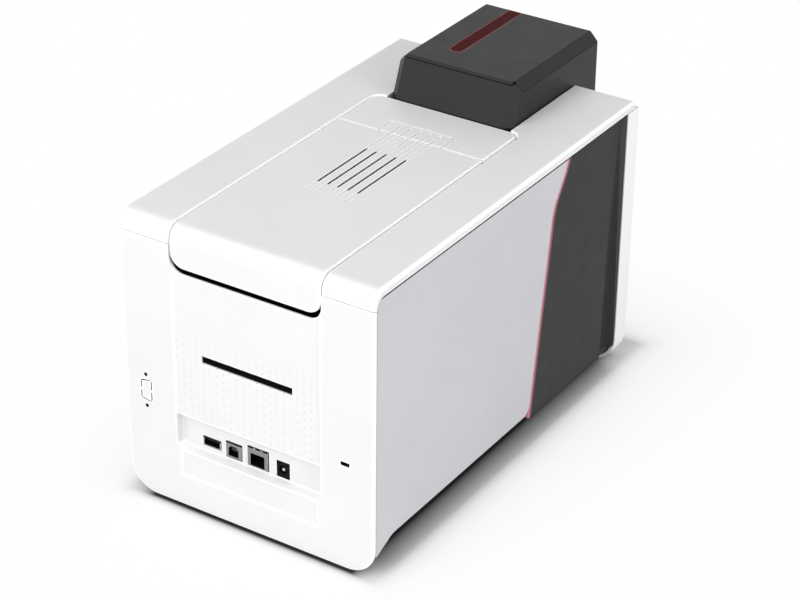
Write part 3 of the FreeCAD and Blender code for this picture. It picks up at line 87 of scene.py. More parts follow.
# Knock-out with its two screws, and the lock slot
screw_pitch = 25 * MM
screw_radius = 1.4 * MM
screw_inner_radius = 1.12 * MM
screw_height = 0.42 * MM
screw_sink = 0.14 * MM
screw_sides = 24
knockout_x = 85.3 * MM
knockout_z = 87 * MM
knockout_half_x = 6 * MM
knockout_half_z = 10.5 * MM
lock_x = -79.5 * MM
lock_z = 86.4 * MM
lock_half_x = 3.7 * MM
lock_half_z = 1.7 * MM
cut_wall = 187.9 * MM

# Plugs in the cover's arm
plug_radius = 0.7 * MM
plug_top_radius = 0.56 * MM
plug_height = 0.3 * MM
plug_sides = 16
plug_x = -62.4 * MM
plug_places_y = (-6.1 * MM, -52.3 * MM)

# Black strips in the lid's vents, as painted shade in the slots
vent_count = 5
vent_shade_pitch = 8.15 * MM
vent_shade_width = 0.7 * MM
vent_shade_height = 2.6 * MM
vent_shade_top = 221.65 * MM
vent_shade_front = 18.9 * MM
vent_shade_rear = 78.3 * MM

# Side panels: the painted shadow line under the cover, and the finger groove, with its painted shade and
# the block behind its foot
panel_line = 214.4 * MM
finger_y = -131.9 * MM
finger_core = 1.5 * MM
finger_fade = 9 * MM
groove_back_inner = 94.4 * MM
groove_back_outer = 97.6 * MM
groove_back_front = -146 * MM
groove_back_rear = -120.5 * MM
groove_back_low = 16.5 * MM
groove_back_high = 22.8 * MM

# Sockets
contact_height = 0.25 * MM
contact_length = 6 * MM
contact_inset = 3 * MM
contact_round = 0.05 * MM
contact_half_share = 0.28
face_proud = 0.15 * MM
face_depth = 0.2 * MM
face_gap = 0.1 * MM
face_corner = 0.5 * MM
hole_corner = 2.2 * MM
rim_depth = 0.7 * MM
slit_height = 1.1 * MM
slit_proud = 0.05 * MM
slit_round = 0.05 * MM
jack_pin = 1.3 * MM

# Rollers, spools and the ribbon between them
tyre_half = 28.02 * MM
drive_side = 69 * MM
film_side = 29.9 * MM
web_thickness = 0.12 * MM
web_clearance = 0.36 * MM
web_half = 29.5 * MM
web_wrap = 13 * MM
web_wrap_rise = 3.2 * MM
web_tangent = 4 * MM
web_slack = 0.6 * MM
web_guide = 2 * MM
web_guide_rise = 1.2 * MM
web_pad = 1 * MM
web_peel = 3 * MM
web_peel_rise = 2 * MM
web_return = 6 * MM
web_return_slack = 0.4 * MM

# Floor: a painted dark contact shadow near the object, and a shadow that fades in two steps
floor_half = 6
contact_half_x = 84 * MM
contact_half_y = 173.5 * MM
contact_middle_y = 13.5 * MM
contact_narrow = 2.5
contact_fade = 9 * MM
contact_shade = 0.95
near_fade = 7 * MM
far_fade = 55 * MM
near_shadow = 0.72
far_shadow = 0.28
floor_white = 0.995
floor_rough = 0.9

# Lamps: name, place, width and height in metres, power in watts
LAMPS = (
    ("rear_box", (0.3, 2.2, 1.35), (2.0, 1.5), 28),
    ("side_box", (-2.25, 0.45, 0.85), (1.8, 1.4), 25),
    ("top_box", (0.3, 1.2, 1.9), (1.8, 1.8), 14),
)
lamp_target = (0, 0, 0.12)
sky_level = 0.44

# The photo's camera
camera_place = Vector((-0.8273, 1.2877, 0.9706))
camera_azimuth = math.radians(212.71)
camera_elevation = math.radians(29.74)
camera_roll = math.radians(0.61)
sensor_width = 36
lens_length = 109.26
near_clip = 0.01

# Colours, linear
WHITE_SHELL = (0.76, 0.76, 0.76)
# Lighter copy of the white shell for the bezel: painted light, standing in for more light falling on it
WHITE_BEZEL_PAINTED_LIGHT = (0.88, 0.88, 0.88)
# Painted highlight on the white shell's edges, seams and chamfers
WHITE_PAINTED_HIGHLIGHT = (0.97, 0.97, 0.97)
GREY_PANEL = (0.555, 0.55, 0.582)
DARK_PANEL = (0.017, 0.017, 0.0175)
BLACK_PLASTIC = (0.011, 0.011, 0.0115)
# Black of the socket plastic, screws and plugs, and the colour of painted shade in gaps, hollows and under
# the object
DEEP_BLACK_AND_SHADE = (0.006, 0.006, 0.006)
RED_STRIP = (0.20, 0.018, 0.045)
# Painted highlight on the piping's side towards the rear
RED_PAINTED_HIGHLIGHT = (0.78, 0.34, 0.42)
RED_CLEAR = (0.058, 0.0012, 0.0025)
# Painted highlight on the window's border
RED_WINDOW_HIGHLIGHT = (0.52, 0.13, 0.15)
SMOKED = (0.05, 0.05, 0.055)
RUBBER = (0.022, 0.022, 0.023)
STEEL = (0.52, 0.52, 0.53)
ZINC = (0.46, 0.47, 0.48)
ALUMINIUM = (0.66, 0.67, 0.68)
MOTOR_PAINT = (0.035, 0.035, 0.038)
NYLON = (0.72, 0.70, 0.62)
ROLLER_BLUE = (0.09, 0.20, 0.42)
RIBBON = (0.020, 0.020, 0.055)
BOARD_GREEN = (0.012, 0.13, 0.055)
SOCKET_METAL = (0.45, 0.45, 0.46)
SOCKET_FACE = (0.30, 0.30, 0.31)
LIGHT_CLEAR = (0.62, 0.72, 0.60)
CERAMIC = (0.74, 0.73, 0.68)
GOLD = (0.80, 0.58, 0.22)
FLOOR = (0.90, 0.90, 0.90)

# Factors by which a colour gets darker or lighter in places
streak_dark = 0.9
streak_light = 1.08
shaft_dark = 0.92
shaft_light = 1.05
nylon_dark = 0.95
worn_rubber = 1.6
film_edge = 3.2
track_light = 1.7
key_tone = 0.8
# Painted shade in the finger groove
groove_shade = 0.5

# Gloss: how much smoother and rougher metal gets in its streaks, a roller's roughness, and clear plastic
streak_polish = 0.08
streak_haze = 0.1
tyre_rough = 0.62
shaft_rough = 0.28
clear_ior = 1.49

# Scales of the patterns in cycles per metre, and stretches of the streaks along X, Y and Z
cloud_scale = 14
handling_scale = 60
streak_scale = 900
rolled_scale = 120
roller_cloud_scale = 300
rib_scale = 700
turn_scale = 3200
track_scale = 180
track_width = 0.06
floor_scale = 3
DRAWN_ALONG_X = (0.05, 1, 1)
RIBBED_ALONG_X = (0.1, 1, 1)
PLATED = (1, 0.3, 1)
ROLLED = (1, 0.2, 1)


class Tree:
    """Node tree with shorthands for its nodes and links."""

    def __init__(self, tree):
        self.tree = tree

    def add(self, kind, **values):
        node = self.tree.nodes.new(kind)
        for key, value in values.items():
            setattr(node, key, value)
        return node

    def feed(self, value, socket):
        """Links another node's output to a socket, or sets the socket to a plain value."""
        if isinstance(value, bpy.types.NodeSocket):
            self.tree.links.new(value, socket)
        else:
            socket.default_value = value

    def math(self, operation, first, second=None, clamp=False):
        node = self.add("ShaderNodeMath", operation=operation, use_clamp=clamp)
        self.feed(first, node.inputs[0])
        if second is not None:
            self.feed(second, node.inputs[1])
        return node.outputs[0]

    def spread(self, source, low, high, start=0.35, end=0.65):
        """Goes from low to high while the source goes from start to end."""
        node = self.add("ShaderNodeMapRange")
        self.feed(source, node.inputs["Value"])
        for key, value in (("From Min", start), ("From Max", end), ("To Min", low), ("To Max", high)):
            self.feed(value, node.inputs[key])
        return node.outputs["Result"]

    def seen_share(self, share):
        """The share for rays that show the background, also in gloss and glass; none for other light."""
        path = self.add("ShaderNodeLightPath")
        direct = self.math("MAXIMUM", path.outputs["Is Camera Ray"], path.outputs["Is Glossy Ray"])
        any_ray = self.math("MAXIMUM", direct, path.outputs["Is Transmission Ray"])
        return self.math("MULTIPLY", any_ray, share)


class Shader(Tree):
    """Material of a surface."""

    def __init__(self, name):
        self.material = bpy.data.materials.new(name)
        self.material.use_nodes = True
        super().__init__(self.material.node_tree)
        self.surface = self.tree.nodes["Principled BSDF"]
        self.output = self.tree.nodes["Material Output"]
        self.place = self.add("ShaderNodeTexCoord").outputs["Object"]

    def give(self, name, value):
        """Value or link for one of the surface's sockets."""
        self.feed(value, self.surface.inputs[name])

    def source(self, name):
        """What one of the surface's sockets is linked to."""
        return self.surface.inputs[name].links[0].from_socket

    def part(self, vector, axis):
        """One coordinate of a vector."""
        split = self.add("ShaderNodeSeparateXYZ")
        self.feed(vector, split.inputs[0])
        return split.outputs[axis]

    def coordinate(self, axis):
        """Place on the object along X, Y or Z."""
        return self.part(self.place, axis)

    def noise(self, scale, detail, stretch=None):
        node = self.add("ShaderNodeTexNoise")
        self.feed(scale, node.inputs["Scale"])
        self.feed(detail, node.inputs["Detail"])
        place = self.place
        if stretch:
            mapping = self.add("ShaderNodeMapping")
            self.feed(stretch, mapping.inputs["Scale"])
            self.feed(place, mapping.inputs["Vector"])
            place = mapping.outputs[0]
        self.feed(place, node.inputs["Vector"])
        return node.outputs["Fac"]

    def blend(self, factor, first, second):
        """Mix of two colours, each a plain one or another node's."""
        node = self.add("ShaderNodeMix", data_type="RGBA")
        first_input, second_input = [socket for socket in node.inputs if socket.type == "RGBA"]
        self.feed(factor, node.inputs[0])
        for value, socket in ((first, first_input), (second, second_input)):
            self.feed((*value, 1) if isinstance(value, tuple) else value, socket)
        return [socket for socket in node.outputs if socket.type == "RGBA"][0]

    def relief(self, height, distance, strength, normal=None):
        node = self.add("ShaderNodeBump")
        self.feed(strength, node.inputs["Strength"])
        self.feed(distance, node.inputs["Distance"])
        self.feed(height, node.inputs["Height"])
        if normal is not None:
            self.feed(normal, node.inputs["Normal"])
        return node.outputs[0]

    def soft_edges(self, radius):
        """Normal that rounds the edges."""
        node = self.add("ShaderNodeBevel", samples=6)
        self.feed(radius, node.inputs["Radius"])
        return node.outputs[0]

    def face_normal(self):
        return self.add("ShaderNodeNewGeometry").outputs["Normal"]

    def paint(self, mask, colour):
        """Another colour where the mask is one."""
        self.give("Base Color", self.blend(mask, self.source("Base Color"), colour))

    def edge_mask(self, radius, sharp=0.95, flat=0.998):
        """One along the edges of the shape, where the rounded normal turns away from the face's own."""
        turn = self.add("ShaderNodeVectorMath", operation="DOT_PRODUCT")
        self.feed(self.soft_edges(radius), turn.inputs[0])
        self.feed(self.face_normal(), turn.inputs[1])
        return self.spread(turn.outputs["Value"], 1, 0, sharp, flat)

    def tilt_mask(self, square=0.03, slanted=0.2):
        """One on chamfers and rolled edges, where the face's normal leans away from all three axes."""
        normal = self.face_normal()
        along_x, along_y, along_z = [self.math("ABSOLUTE", self.part(normal, axis)) for axis in "XYZ"]
        most = self.math("MAXIMUM", self.math("MAXIMUM", along_x, along_y), along_z)
        return self.spread(self.math("SUBTRACT", 1, most), 0, 1, square, slanted)

    def within(self, middle_x, half_x, middle_z, half_z):
        """One inside a rectangle in X and Z."""
        masks = []
        for axis, middle, half in (("X", middle_x, half_x), ("Z", middle_z, half_z)):
            away = self.math("ABSOLUTE", self.math("SUBTRACT", self.coordinate(axis), middle))
            masks.append(self.math("LESS_THAN", away, half))
        return self.math("MULTIPLY", *masks)


def tone(colour, factor):
    return tuple(min(channel * factor, 1.0) for channel in colour)


# Kinds of material
def moulded(name, colour, rough=0.45, grain=2600, depth=0.02, vary=0.03, radius=edge_round,
            specular=0.5, wear=0.06):
    """Moulded plastic: grain with its depth in millimetres, faint clouds, worn gloss and soft edges."""
    shader = Shader(name)
    cloud = shader.spread(shader.noise(cloud_scale, detail=4), 0, 1)
    shader.give("Base Color", shader.blend(cloud, tone(colour, 1 - vary), tone(colour, 1 + vary)))
    handling = shader.noise(handling_scale, detail=5)
    shader.give("Roughness", shader.spread(handling, rough - wear, rough + wear))
    shader.give("Specular IOR Level", specular)
    fine = shader.noise(grain, detail=2)
    grained = shader.relief(fine, depth * MM, strength=0.5, normal=shader.soft_edges(radius))
    shader.give("Normal", grained)
    return shader


def metal(name, colour, rough, stretch=(1, 1, 1), scale=streak_scale):
    """Bare metal with brushed or rolled streaks."""
    shader = Shader(name)
    streaks = shader.noise(scale, detail=3, stretch=stretch)
    share = shader.spread(streaks, 0, 1)
    shader.give("Base Color", shader.blend(share, tone(colour, streak_dark), tone(colour, streak_light)))
    shader.give("Metallic", 1)
    shader.give("Roughness", shader.spread(streaks, rough - streak_polish, rough + streak_haze))
    brushed = shader.relief(streaks, metal_bump, strength=0.4, normal=shader.soft_edges(fine_round))
    shader.give("Normal", brushed)
    return shader


def tinted(name, colour, clear, rough, specular=0.5):
    """Clear tinted plastic with faint flow marks."""
    shader = moulded(name, colour, rough=rough, grain=600, depth=0.004, vary=0.05, radius=fine_round,
                     specular=specular)
    shader.give("Transmission Weight", clear)
    shader.give("IOR", clear_ior)
    return shader


# Materials of the housing
def white_shell(name, colour=WHITE_SHELL):
    """White satin plastic with a painted highlight along its edges, seams, chamfers and rolled edges."""
    shader = moulded(name, colour, rough=0.42, grain=3200, depth=0.012, vary=0.012)
    # Painted highlight along edges, seams, chamfers and rolled edges
    shader.paint(shader.math("MAXIMUM", shader.edge_mask(edge_highlight_reach), shader.tilt_mask()), WHITE_PAINTED_HIGHLIGHT)
    return shader


def dimple_pits(shader):
    """One in the middle of small triangles, in columns that are staggered by half a row."""
    across = shader.math("DIVIDE", shader.coordinate("X"), dimple_column)
    column = shader.math("FLOOR", across)
    stagger = shader.math("DIVIDE", shader.math("FLOORED_MODULO", column, 2), 2)
    along = shader.math("ADD", shader.math("DIVIDE", shader.coordinate("Z"), dimple_row), stagger)
    u = shader.math("SUBTRACT", shader.math("FRACT", across), cell_middle)
    v = shader.math("SUBTRACT", shader.math("FRACT", along), cell_middle)
    width = shader.math("MULTIPLY", shader.math("ABSOLUTE", u), 2)
    slanted = shader.math("ADD", width, shader.math("ABSOLUTE", v))
    level = shader.math("MULTIPLY", v, -dimple_slant)
    inside = shader.math("SUBTRACT", dimple_reach, shader.math("MAXIMUM", slanted, level))
    return shader.math("MULTIPLY", inside, dimple_sharpness, clamp=True)


def dimple_field(shader):
    """One on the part of the rear face that has dimples, which fade out at its top."""
    half = shader.math("LESS_THAN", shader.math("ABSOLUTE", shader.coordinate("X")), dimple_half)
    above = shader.math("GREATER_THAN", shader.coordinate("Z"), dimple_low)
    below = shader.spread(shader.coordinate("Z"), 1, 0, dimple_high - dimple_fade, dimple_high)
    outside = shader.math("GREATER_THAN", shader.coordinate("Y"), dimple_plane)
    wide = shader.math("MULTIPLY", half, above)
    return shader.math("MULTIPLY", wide, shader.math("MULTIPLY", below, outside))


def rear_shell():
    """White shell with a dimpled rear face, painted shade in its dimples, and painted black shade in the
    depths of its knock-out outline and lock slot.
    """
    shader = white_shell("white_satin_dimpled")
    pits = shader.math("MULTIPLY", dimple_pits(shader), dimple_field(shader))
    # Painted shade in the dimples
    shader.paint(pits, tone(WHITE_SHELL, dimple_shade))
    sunk = shader.math("MULTIPLY", pits, -1)
    shader.give("Normal", shader.relief(sunk, dimple_depth, strength=0.6, normal=shader.source("Normal")))
    # Painted black shade in the depths of the knock-out outline and the lock slot
    deep = shader.math("LESS_THAN", shader.coordinate("Y"), cut_wall)
    for outline in (
        shader.within(knockout_x, knockout_half_x, knockout_z, knockout_half_z),
        shader.within(lock_x, lock_half_x, lock_z, lock_half_z),
    ):
        shader.paint(shader.math("MULTIPLY", outline, deep), DEEP_BLACK_AND_SHADE)
    return shader


def with_shadow_line(shader):
    """Dark line along a panel's upper edge, in the gap under the cover."""
    shader.paint(shader.math("GREATER_THAN", shader.coordinate("Z"), panel_line), DEEP_BLACK_AND_SHADE)
    return shader


def dark_panel():
    """Dark grained panel with painted shade in its finger groove."""
    shader = moulded("dark_grain", DARK_PANEL, rough=0.52, grain=1800, depth=0.03, vary=0.02,
                     specular=0.2, wear=0.02)
    # Painted shade in the finger groove
    away = shader.math("ABSOLUTE", shader.math("SUBTRACT", shader.coordinate("Y"), finger_y))
    shader.paint(shader.spread(away, 1, 0, finger_core, finger_fade), tone(DARK_PANEL, groove_shade))
    return shader


def piping_material(highlight_start=0.1, highlight_end=0.3):
    """Red strip with a rounded face: a painted pale highlight towards the rear, deep red towards the front.
    """
    shader = moulded("red_strip_satin", RED_STRIP, rough=0.38, grain=2200, vary=0.05, radius=piping_round)
    # Painted highlight on the side of the rounded face towards the rear
    rearward = shader.part(shader.soft_edges(piping_round), "Y")
    shader.paint(shader.spread(rearward, 0, 1, highlight_start, highlight_end), RED_PAINTED_HIGHLIGHT)
    return shader


def window_material():
    """Dark red window with a painted pale highlight along its border."""
    shader = tinted("red_clear_window", RED_CLEAR, clear=0.05, rough=0.2, specular=0.01)
    # Painted highlight along the window's border
    shader.paint(shader.edge_mask(window_highlight_reach), RED_WINDOW_HIGHLIGHT)
    return shader


def socket_plastic(name):
    return moulded(name, DEEP_BLACK_AND_SHADE, rough=0.4, radius=fine_round, specular=0.05)


def jack_material():
    """Black socket round a bright centre pin."""
    shader = socket_plastic("black_jack")
    low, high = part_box("power_jack")
    pin = shader.within((low[0] + high[0]) / 2, jack_pin, (low[2] + high[2]) / 2, jack_pin)
    shader.paint(pin, ALUMINIUM)
    shader.give("Metallic", pin)
    return shader


def socket_shell(name):
    """Plated shell with painted black shade on its inside, behind the rim."""
    shader = metal(name + "_plated", SOCKET_METAL, rough=0.3, stretch=PLATED)
    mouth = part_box(name)[1][1]
    # Painted black shade on the shell's inside, behind its rim
    deep = shader.math("LESS_THAN", shader.coordinate("Y"), mouth - rim_depth)
    shader.paint(deep, DEEP_BLACK_AND_SHADE)
    shader.give("Metallic", shader.math("SUBTRACT", 1, deep))
    return shader


# Materials of the inside
def roller_material(name):
    """Rubber on the tyre, ground steel on the shaft and nylon at the drive end of one roller."""
    shader = Shader(name)
    x = shader.coordinate("X")
    tyre = shader.math("LESS_THAN", shader.math("ABSOLUTE", x), tyre_half)
    drive = shader.math("GREATER_THAN", x, drive_side)
    cloud = shader.spread(shader.noise(roller_cloud_scale, detail=4), 0, 1)
    steel = shader.blend(cloud, tone(STEEL, shaft_dark), tone(STEEL, shaft_light))
    dark = shader.blend(cloud, RUBBER, tone(RUBBER, worn_rubber))
    nylon = shader.blend(cloud, tone(NYLON, nylon_dark), NYLON)
    shader.give("Base Color", shader.blend(drive, shader.blend(tyre, steel, dark), nylon))
    bare = shader.math("SUBTRACT", 1, shader.math("MAXIMUM", tyre, drive))
    shader.give("Metallic", bare)
    shader.give("Roughness", shader.spread(bare, tyre_rough, shaft_rough, 0, 1))
    ribs = shader.noise(rib_scale, detail=2, stretch=RIBBED_ALONG_X)
    shader.give("Normal", shader.relief(ribs, rib_bump, strength=0.5))
    return shader


def film_material():
    """Wound ribbon: glossy black film whose edges show fine turns."""
    shader = moulded("wound_film", RIBBON, rough=0.16, grain=300, depth=0.005, vary=0.2)
    edge = shader.math("GREATER_THAN", shader.math("ABSOLUTE", shader.coordinate("X")), film_side)
    turns = shader.noise(turn_scale, detail=1)
    shader.paint(shader.math("MULTIPLY", edge, turns), tone(RIBBON, film_edge))
    return shader


def board_material():
    """Green solder resist with faint copper tracks under it."""
    shader = moulded("solder_resist", BOARD_GREEN, rough=0.3, grain=500, vary=0.1, radius=fine_round)
    tracks = shader.add("ShaderNodeTexBrick", offset=0.5)
    shader.feed(shader.place, tracks.inputs["Vector"])
    shader.feed(track_scale, tracks.inputs["Scale"])
    shader.feed(track_width, tracks.inputs["Mortar Size"])
    shader.paint(tracks.outputs["Fac"], tone(BOARD_GREEN, track_light))
    return shader


def dress(shader, *names):
    """Gives the material to CAD nodes."""
    for name in names:
        slots = cad_nodes[name].data.materials
        slots.clear()
        slots.append(shader.material)


# Housing, panels, feeder and output
dark_finish = with_shadow_line(dark_panel())
grey_finish = moulded("grey_grain", GREY_PANEL, rough=0.5, grain=1800, depth=0.03, vary=0.015)
black_finish = moulded("black_grain", BLACK_PLASTIC, rough=0.46, grain=1500, depth=0.03, vary=0.02,
                       specular=0.25, wear=0.02)
dress(white_shell("white_satin"), "top_cover", "lid", "bridge_cover", "release_button")
# Painted light: the bezel takes a lighter copy of the white shell
dress(white_shell("white_bezel_painted_light", WHITE_BEZEL_PAINTED_LIGHT), "front_bezel")
dress(rear_shell(), "rear_housing")
dress(with_shadow_line(grey_finish), "left_rear_panel", "right_rear_panel")
dress(dark_finish, "left_front_panel", "right_front_panel")
dress(piping_material(), "left_piping", "right_piping")
dress(black_finish, "base_tray", "card_guide", "rear_card_throat", "feeder_hopper", "feeder_cover",
      "card_weight", "output_bin", "left_ribbon_cradle", "right_ribbon_cradle")
dress(moulded("grey_key", tone(GREY_PANEL, key_tone), rough=0.4), "control_key")
dress(window_material(), "feeder_window")
dress(tinted("smoked_flap", SMOKED, clear=0.45, rough=0.16), "output_flap")
dress(tinted("light_bar", LIGHT_CLEAR, clear=0.3, rough=0.25), "status_light")

# Sockets
dress(socket_plastic("black_socket"), "network_socket")
dress(jack_material(), "power_jack")
for plated in ("usb_a_socket", "usb_b_socket"):
    dress(socket_shell(plated), plated)

# Rollers, drive, frame, ribbon and electronics
for roller in ("pick_roller", "entry_roller", "platen_roller", "exit_roller"):
    dress(roller_material(roller + "_finish"), roller)
dress(moulded("tacky_blue", ROLLER_BLUE, rough=0.25, grain=400, depth=0.01, vary=0.05), "cleaning_roller")
dress(moulded("rubber_matt", RUBBER, rough=0.75, grain=1200, depth=0.04, vary=0.15),
      "rubber_feet", "drive_belt", "exit_pinch_roller")
dress(moulded("motor_paint", MOTOR_PAINT, rough=0.35, grain=900, vary=0.1), "drive_motor", "ribbon_motor")
dress(moulded("natural_nylon", NYLON, rough=0.4, grain=900, radius=fine_round),
      "drive_pinion", "spool_pinion", "supply_core", "takeup_core")
dress(metal("ground_steel", STEEL, rough=0.25, stretch=DRAWN_ALONG_X), "tie_bars")
dress(metal("zinc_plate", ZINC, rough=0.4, stretch=ROLLED, scale=rolled_scale),
      "left_chassis_plate", "right_chassis_plate", "print_head_bracket")
dress(metal("extruded_aluminium", ALUMINIUM, rough=0.38, stretch=DRAWN_ALONG_X), "heat_sink")
dress(metal("nickel_posts", SOCKET_METAL, rough=0.22, stretch=PLATED), "board_posts")
dress(moulded("glazed_ceramic", CERAMIC, rough=0.15, grain=200, vary=0.02), "print_head")
dress(board_material(), "main_board", "control_board")
film_finish = film_material()
dress(film_finish, "supply_film", "takeup_film")

# Finishes of the added pieces
gold_finish = metal("contact_gold", GOLD, rough=0.2)
face_finish = metal("socket_face_metal", SOCKET_FACE, rough=0.35)
# Black for the screws and plugs, and painted shade for the blocks in the socket gaps and vents
black_and_shade_finish = moulded("black_and_painted_shade", DEEP_BLACK_AND_SHADE, rough=0.6, specular=0.05, radius=fine_round)


def piece(name, build, shader, body):
    """New object of the scene, made with bmesh by a builder function, that rides on a body."""
    work = bmesh.new()
    build(work)
    bmesh.ops.recalc_face_normals(work, faces=work.faces)
    mesh = bpy.data.meshes.new(name)
    work.to_mesh(mesh)
    work.free()
    mesh.materials.append(shader.material)
    item = bpy.data.objects.new(name, mesh)
    bpy.context.scene.collection.objects.link(item)
    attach(item, body)
    return item


def block(work, low, high, edge):
    """Box between two corners, with its edges bevelled."""
    middle = (Vector(low) + Vector(high)) / 2
    size = Vector(high) - Vector(low)
    place = Matrix.Translation(middle) @ Matrix.Diagonal((*size, 1))
    made = bmesh.ops.create_cube(work, size=1, matrix=place)
    edges = {line for vertex in made["verts"] for line in vertex.link_edges}
    bmesh.ops.bevel(work, geom=list(edges), offset=edge, segments=2, affect="EDGES", profile=0.6)


# Contacts of each socket: their number, and shares of the socket's width and height
CONTACT_ROWS = {
    "network_socket": (8, 0.55, 0.76),
    "usb_a_socket": (4, 0.6, 0.6),
    "usb_b_socket": (2, 0.34, 0.67),
}


def socket_contacts(work):
    """A row of flat contacts in each socket, a little behind its mouth."""
    for name, (count, width_share, height_share) in CONTACT_ROWS.items():
        low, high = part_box(name)
        pitch = (high[0] - low[0]) * width_share / count
        half = pitch * contact_half_share
        first_x = (low[0] + high[0]) / 2 - pitch * (count - 1) / 2
        z = low[2] + (high[2] - low[2]) * height_share
        mouth = high[1] - contact_inset
        for index in range(count):
            x = first_x + pitch * index
            block(
                work, (x - half, mouth - contact_length, z), (x + half, mouth, z + contact_height),
                contact_round,
            )


piece("socket_contacts", socket_contacts, gold_finish, "housing")


# Opening in the face of each square socket: left, right, bottom and top as shares, and its corners
FACE_OPENINGS = {
    "usb_b_socket": (0.22, 0.84, 0.14, 0.78, hole_corner),
    "network_socket": (0.19, 0.86, 0.05, 0.68, face_corner),
}


def cut_corners(left, right, bottom, top, cut):
    """Rectangle in X and Z whose two upper corners are cut off."""
    return [
        (left, bottom), (right, bottom), (right, top - cut),
        (right - cut, top), (left + cut, top), (left, top - cut),
    ]


def socket_faces(work):
    """Thin metal ring on each square socket, round its opening."""
    for name, (left, right, bottom, top, corner) in FACE_OPENINGS.items():
        low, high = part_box(name)
        width = high[0] - low[0]
        height = high[2] - low[2]
        outer = cut_corners(
            low[0] + face_gap, high[0] - face_gap, low[2] + face_gap, high[2] - face_gap, face_corner
        )
        inner = cut_corners(
            low[0] + width * left, low[0] + width * right,
            low[2] + height * bottom, low[2] + height * top, corner,
        )
        back = high[1] - face_depth
        front = high[1] + face_proud
        loops = []
        for y, outline in ((back, inner), (back, outer), (front, outer), (front, inner)):
            loops.append([work.verts.new((x, y, z)) for x, z in outline])
        for first, second in zip(loops, loops[1:] + loops[:1]):
            for index in range(len(outer)):
                after = (index + 1) % len(outer)
                work.faces.new((first[index], first[after], second[after], second[index]))


piece("socket_faces", socket_faces, face_finish, "housing")


# Black blocks as painted shade in the gaps over each socket, where the case stands off it: start and end as
# shares of its width
GAP_SHARES = {
    "usb_a_socket": ((0, 1),),
    "usb_b_socket": ((0, 1),),
    "network_socket": ((0.05, 0.26), (0.40, 0.60), (0.74, 0.95)),
}


def socket_gap_shade(work):
    for name, shares in GAP_SHARES.items():
        low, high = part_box(name)
        width = high[0] - low[0]
        back = high[1] - face_depth
        front = high[1] + face_proud + slit_proud
        for start, end in shares:
            block(
                work, (low[0] + width * start, back, high[2] - slit_height),
                (low[0] + width * end, front, high[2]), slit_round,
            )


piece("socket_gap_shade", socket_gap_shade, black_and_shade_finish, "housing")


# Blocks behind the finger grooves at the panels' feet, where the groove is deeper than the skin
def groove_backs(work):
    for side in (-1, 1):
        low_x, high_x = sorted((side * groove_back_inner, side * groove_back_outer))
        block(
            work, (low_x, groove_back_front, groove_back_low),
            (high_x, groove_back_rear, groove_back_high), fine_round,
        )


piece("groove_backs", groove_backs, dark_finish, "housing")


# Black strips in the slots of the lid's vent grooves, as painted shade
def vent_shade_strips(work):
    for index in range(vent_count):
        middle = (index - (vent_count - 1) / 2) * vent_shade_pitch
        block(
            work, (middle - vent_shade_width / 2, vent_shade_front, vent_shade_top - vent_shade_height),
            (middle + vent_shade_width / 2, vent_shade_rear, vent_shade_top), fine_round,
        )


piece("vent_shade_strips", vent_shade_strips, black_and_shade_finish, "lid")


# Heads of the knock-out's screws, nearly flush with the rear face
def screw_heads(work):
    for side in (-1, 1):
        centre = Vector((knockout_x, rear_y - screw_sink, knockout_z + side * screw_pitch / 2))
        turn = Matrix.Rotation(math.radians(90), 4, "X")
        bmesh.ops.create_cone(
            work, cap_ends=True, segments=screw_sides, radius1=screw_radius, radius2=screw_inner_radius,
            depth=screw_height, matrix=Matrix.Translation(centre) @ turn,
        )


piece("knockout_screws", screw_heads, black_and_shade_finish, "housing")


# Two small plugs in the cover's arm, beside the ends of the seams
def cover_plugs(work):
    for y in plug_places_y:
        centre = Vector((plug_x, y, cover_top - plug_height / 4))
        bmesh.ops.create_cone(
            work, cap_ends=True, segments=plug_sides, radius1=plug_radius, radius2=plug_top_radius,
            depth=plug_height, matrix=Matrix.Translation(centre),
        )


piece("cover_plugs", cover_plugs, black_and_shade_finish, "housing")


# Ribbon between the two spools, under the print head
def ribbon_web(work):
    supply_low, supply_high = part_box("supply_film")
    take_low, take_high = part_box("takeup_film")
    head_low, head_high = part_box("print_head")
    level = head_low[2] - web_clearance
    supply_y = (supply_low[1] + supply_high[1]) / 2
    take_y = (take_low[1] + take_high[1]) / 2
    line = [
        (supply_y + web_wrap, supply_low[2] + web_wrap_rise),
        (supply_y + web_tangent, supply_low[2] - web_slack),
        (head_high[1] + web_guide, level + web_guide_rise),
        (head_high[1] - web_pad, level),
        (head_low[1] + web_pad, level),
        (head_low[1] - web_peel, level + web_peel_rise),
        (take_y + web_return, take_low[2] - web_return_slack),
        (take_y - web_guide, take_low[2] - web_return_slack),
    ]
    rows = []
    for y, z in line:
        rows.append([work.verts.new((x, y, z)) for x in (-web_half, web_half)])
    for first, second in zip(rows, rows[1:]):
        work.faces.new((first[0], first[1], second[1], second[0]))


web = piece("ribbon_web", ribbon_web, film_finish, "housing")
thick = web.modifiers.new("thickness", "SOLIDIFY")
thick.thickness = web_thickness
for face in web.data.polygons:
    face.use_smooth = True


# Floor
def away_from(shader, half_x, half_y, middle_y=0, stretch=1):
    """Distance on the floor from a rectangle under the object, stretched along Y."""
    from_middle = shader.math("SUBTRACT", shader.coordinate("Y"), middle_y)
    squares = []
    for place, edge, factor in ((shader.coordinate("X"), half_x, 1), (from_middle, half_y, stretch)):
        gap = shader.math("MAXIMUM", shader.math("SUBTRACT", shader.math("ABSOLUTE", place), edge), 0)
        gap = shader.math("MULTIPLY", gap, factor)
        squares.append(shader.math("MULTIPLY", gap, gap))
    return shader.math("SQRT", shader.math("ADD", *squares))


def faded(shader, away, fade):
    """One at no distance, falling off over the fade length."""
    return shader.math("EXPONENT", shader.math("DIVIDE", away, -fade))


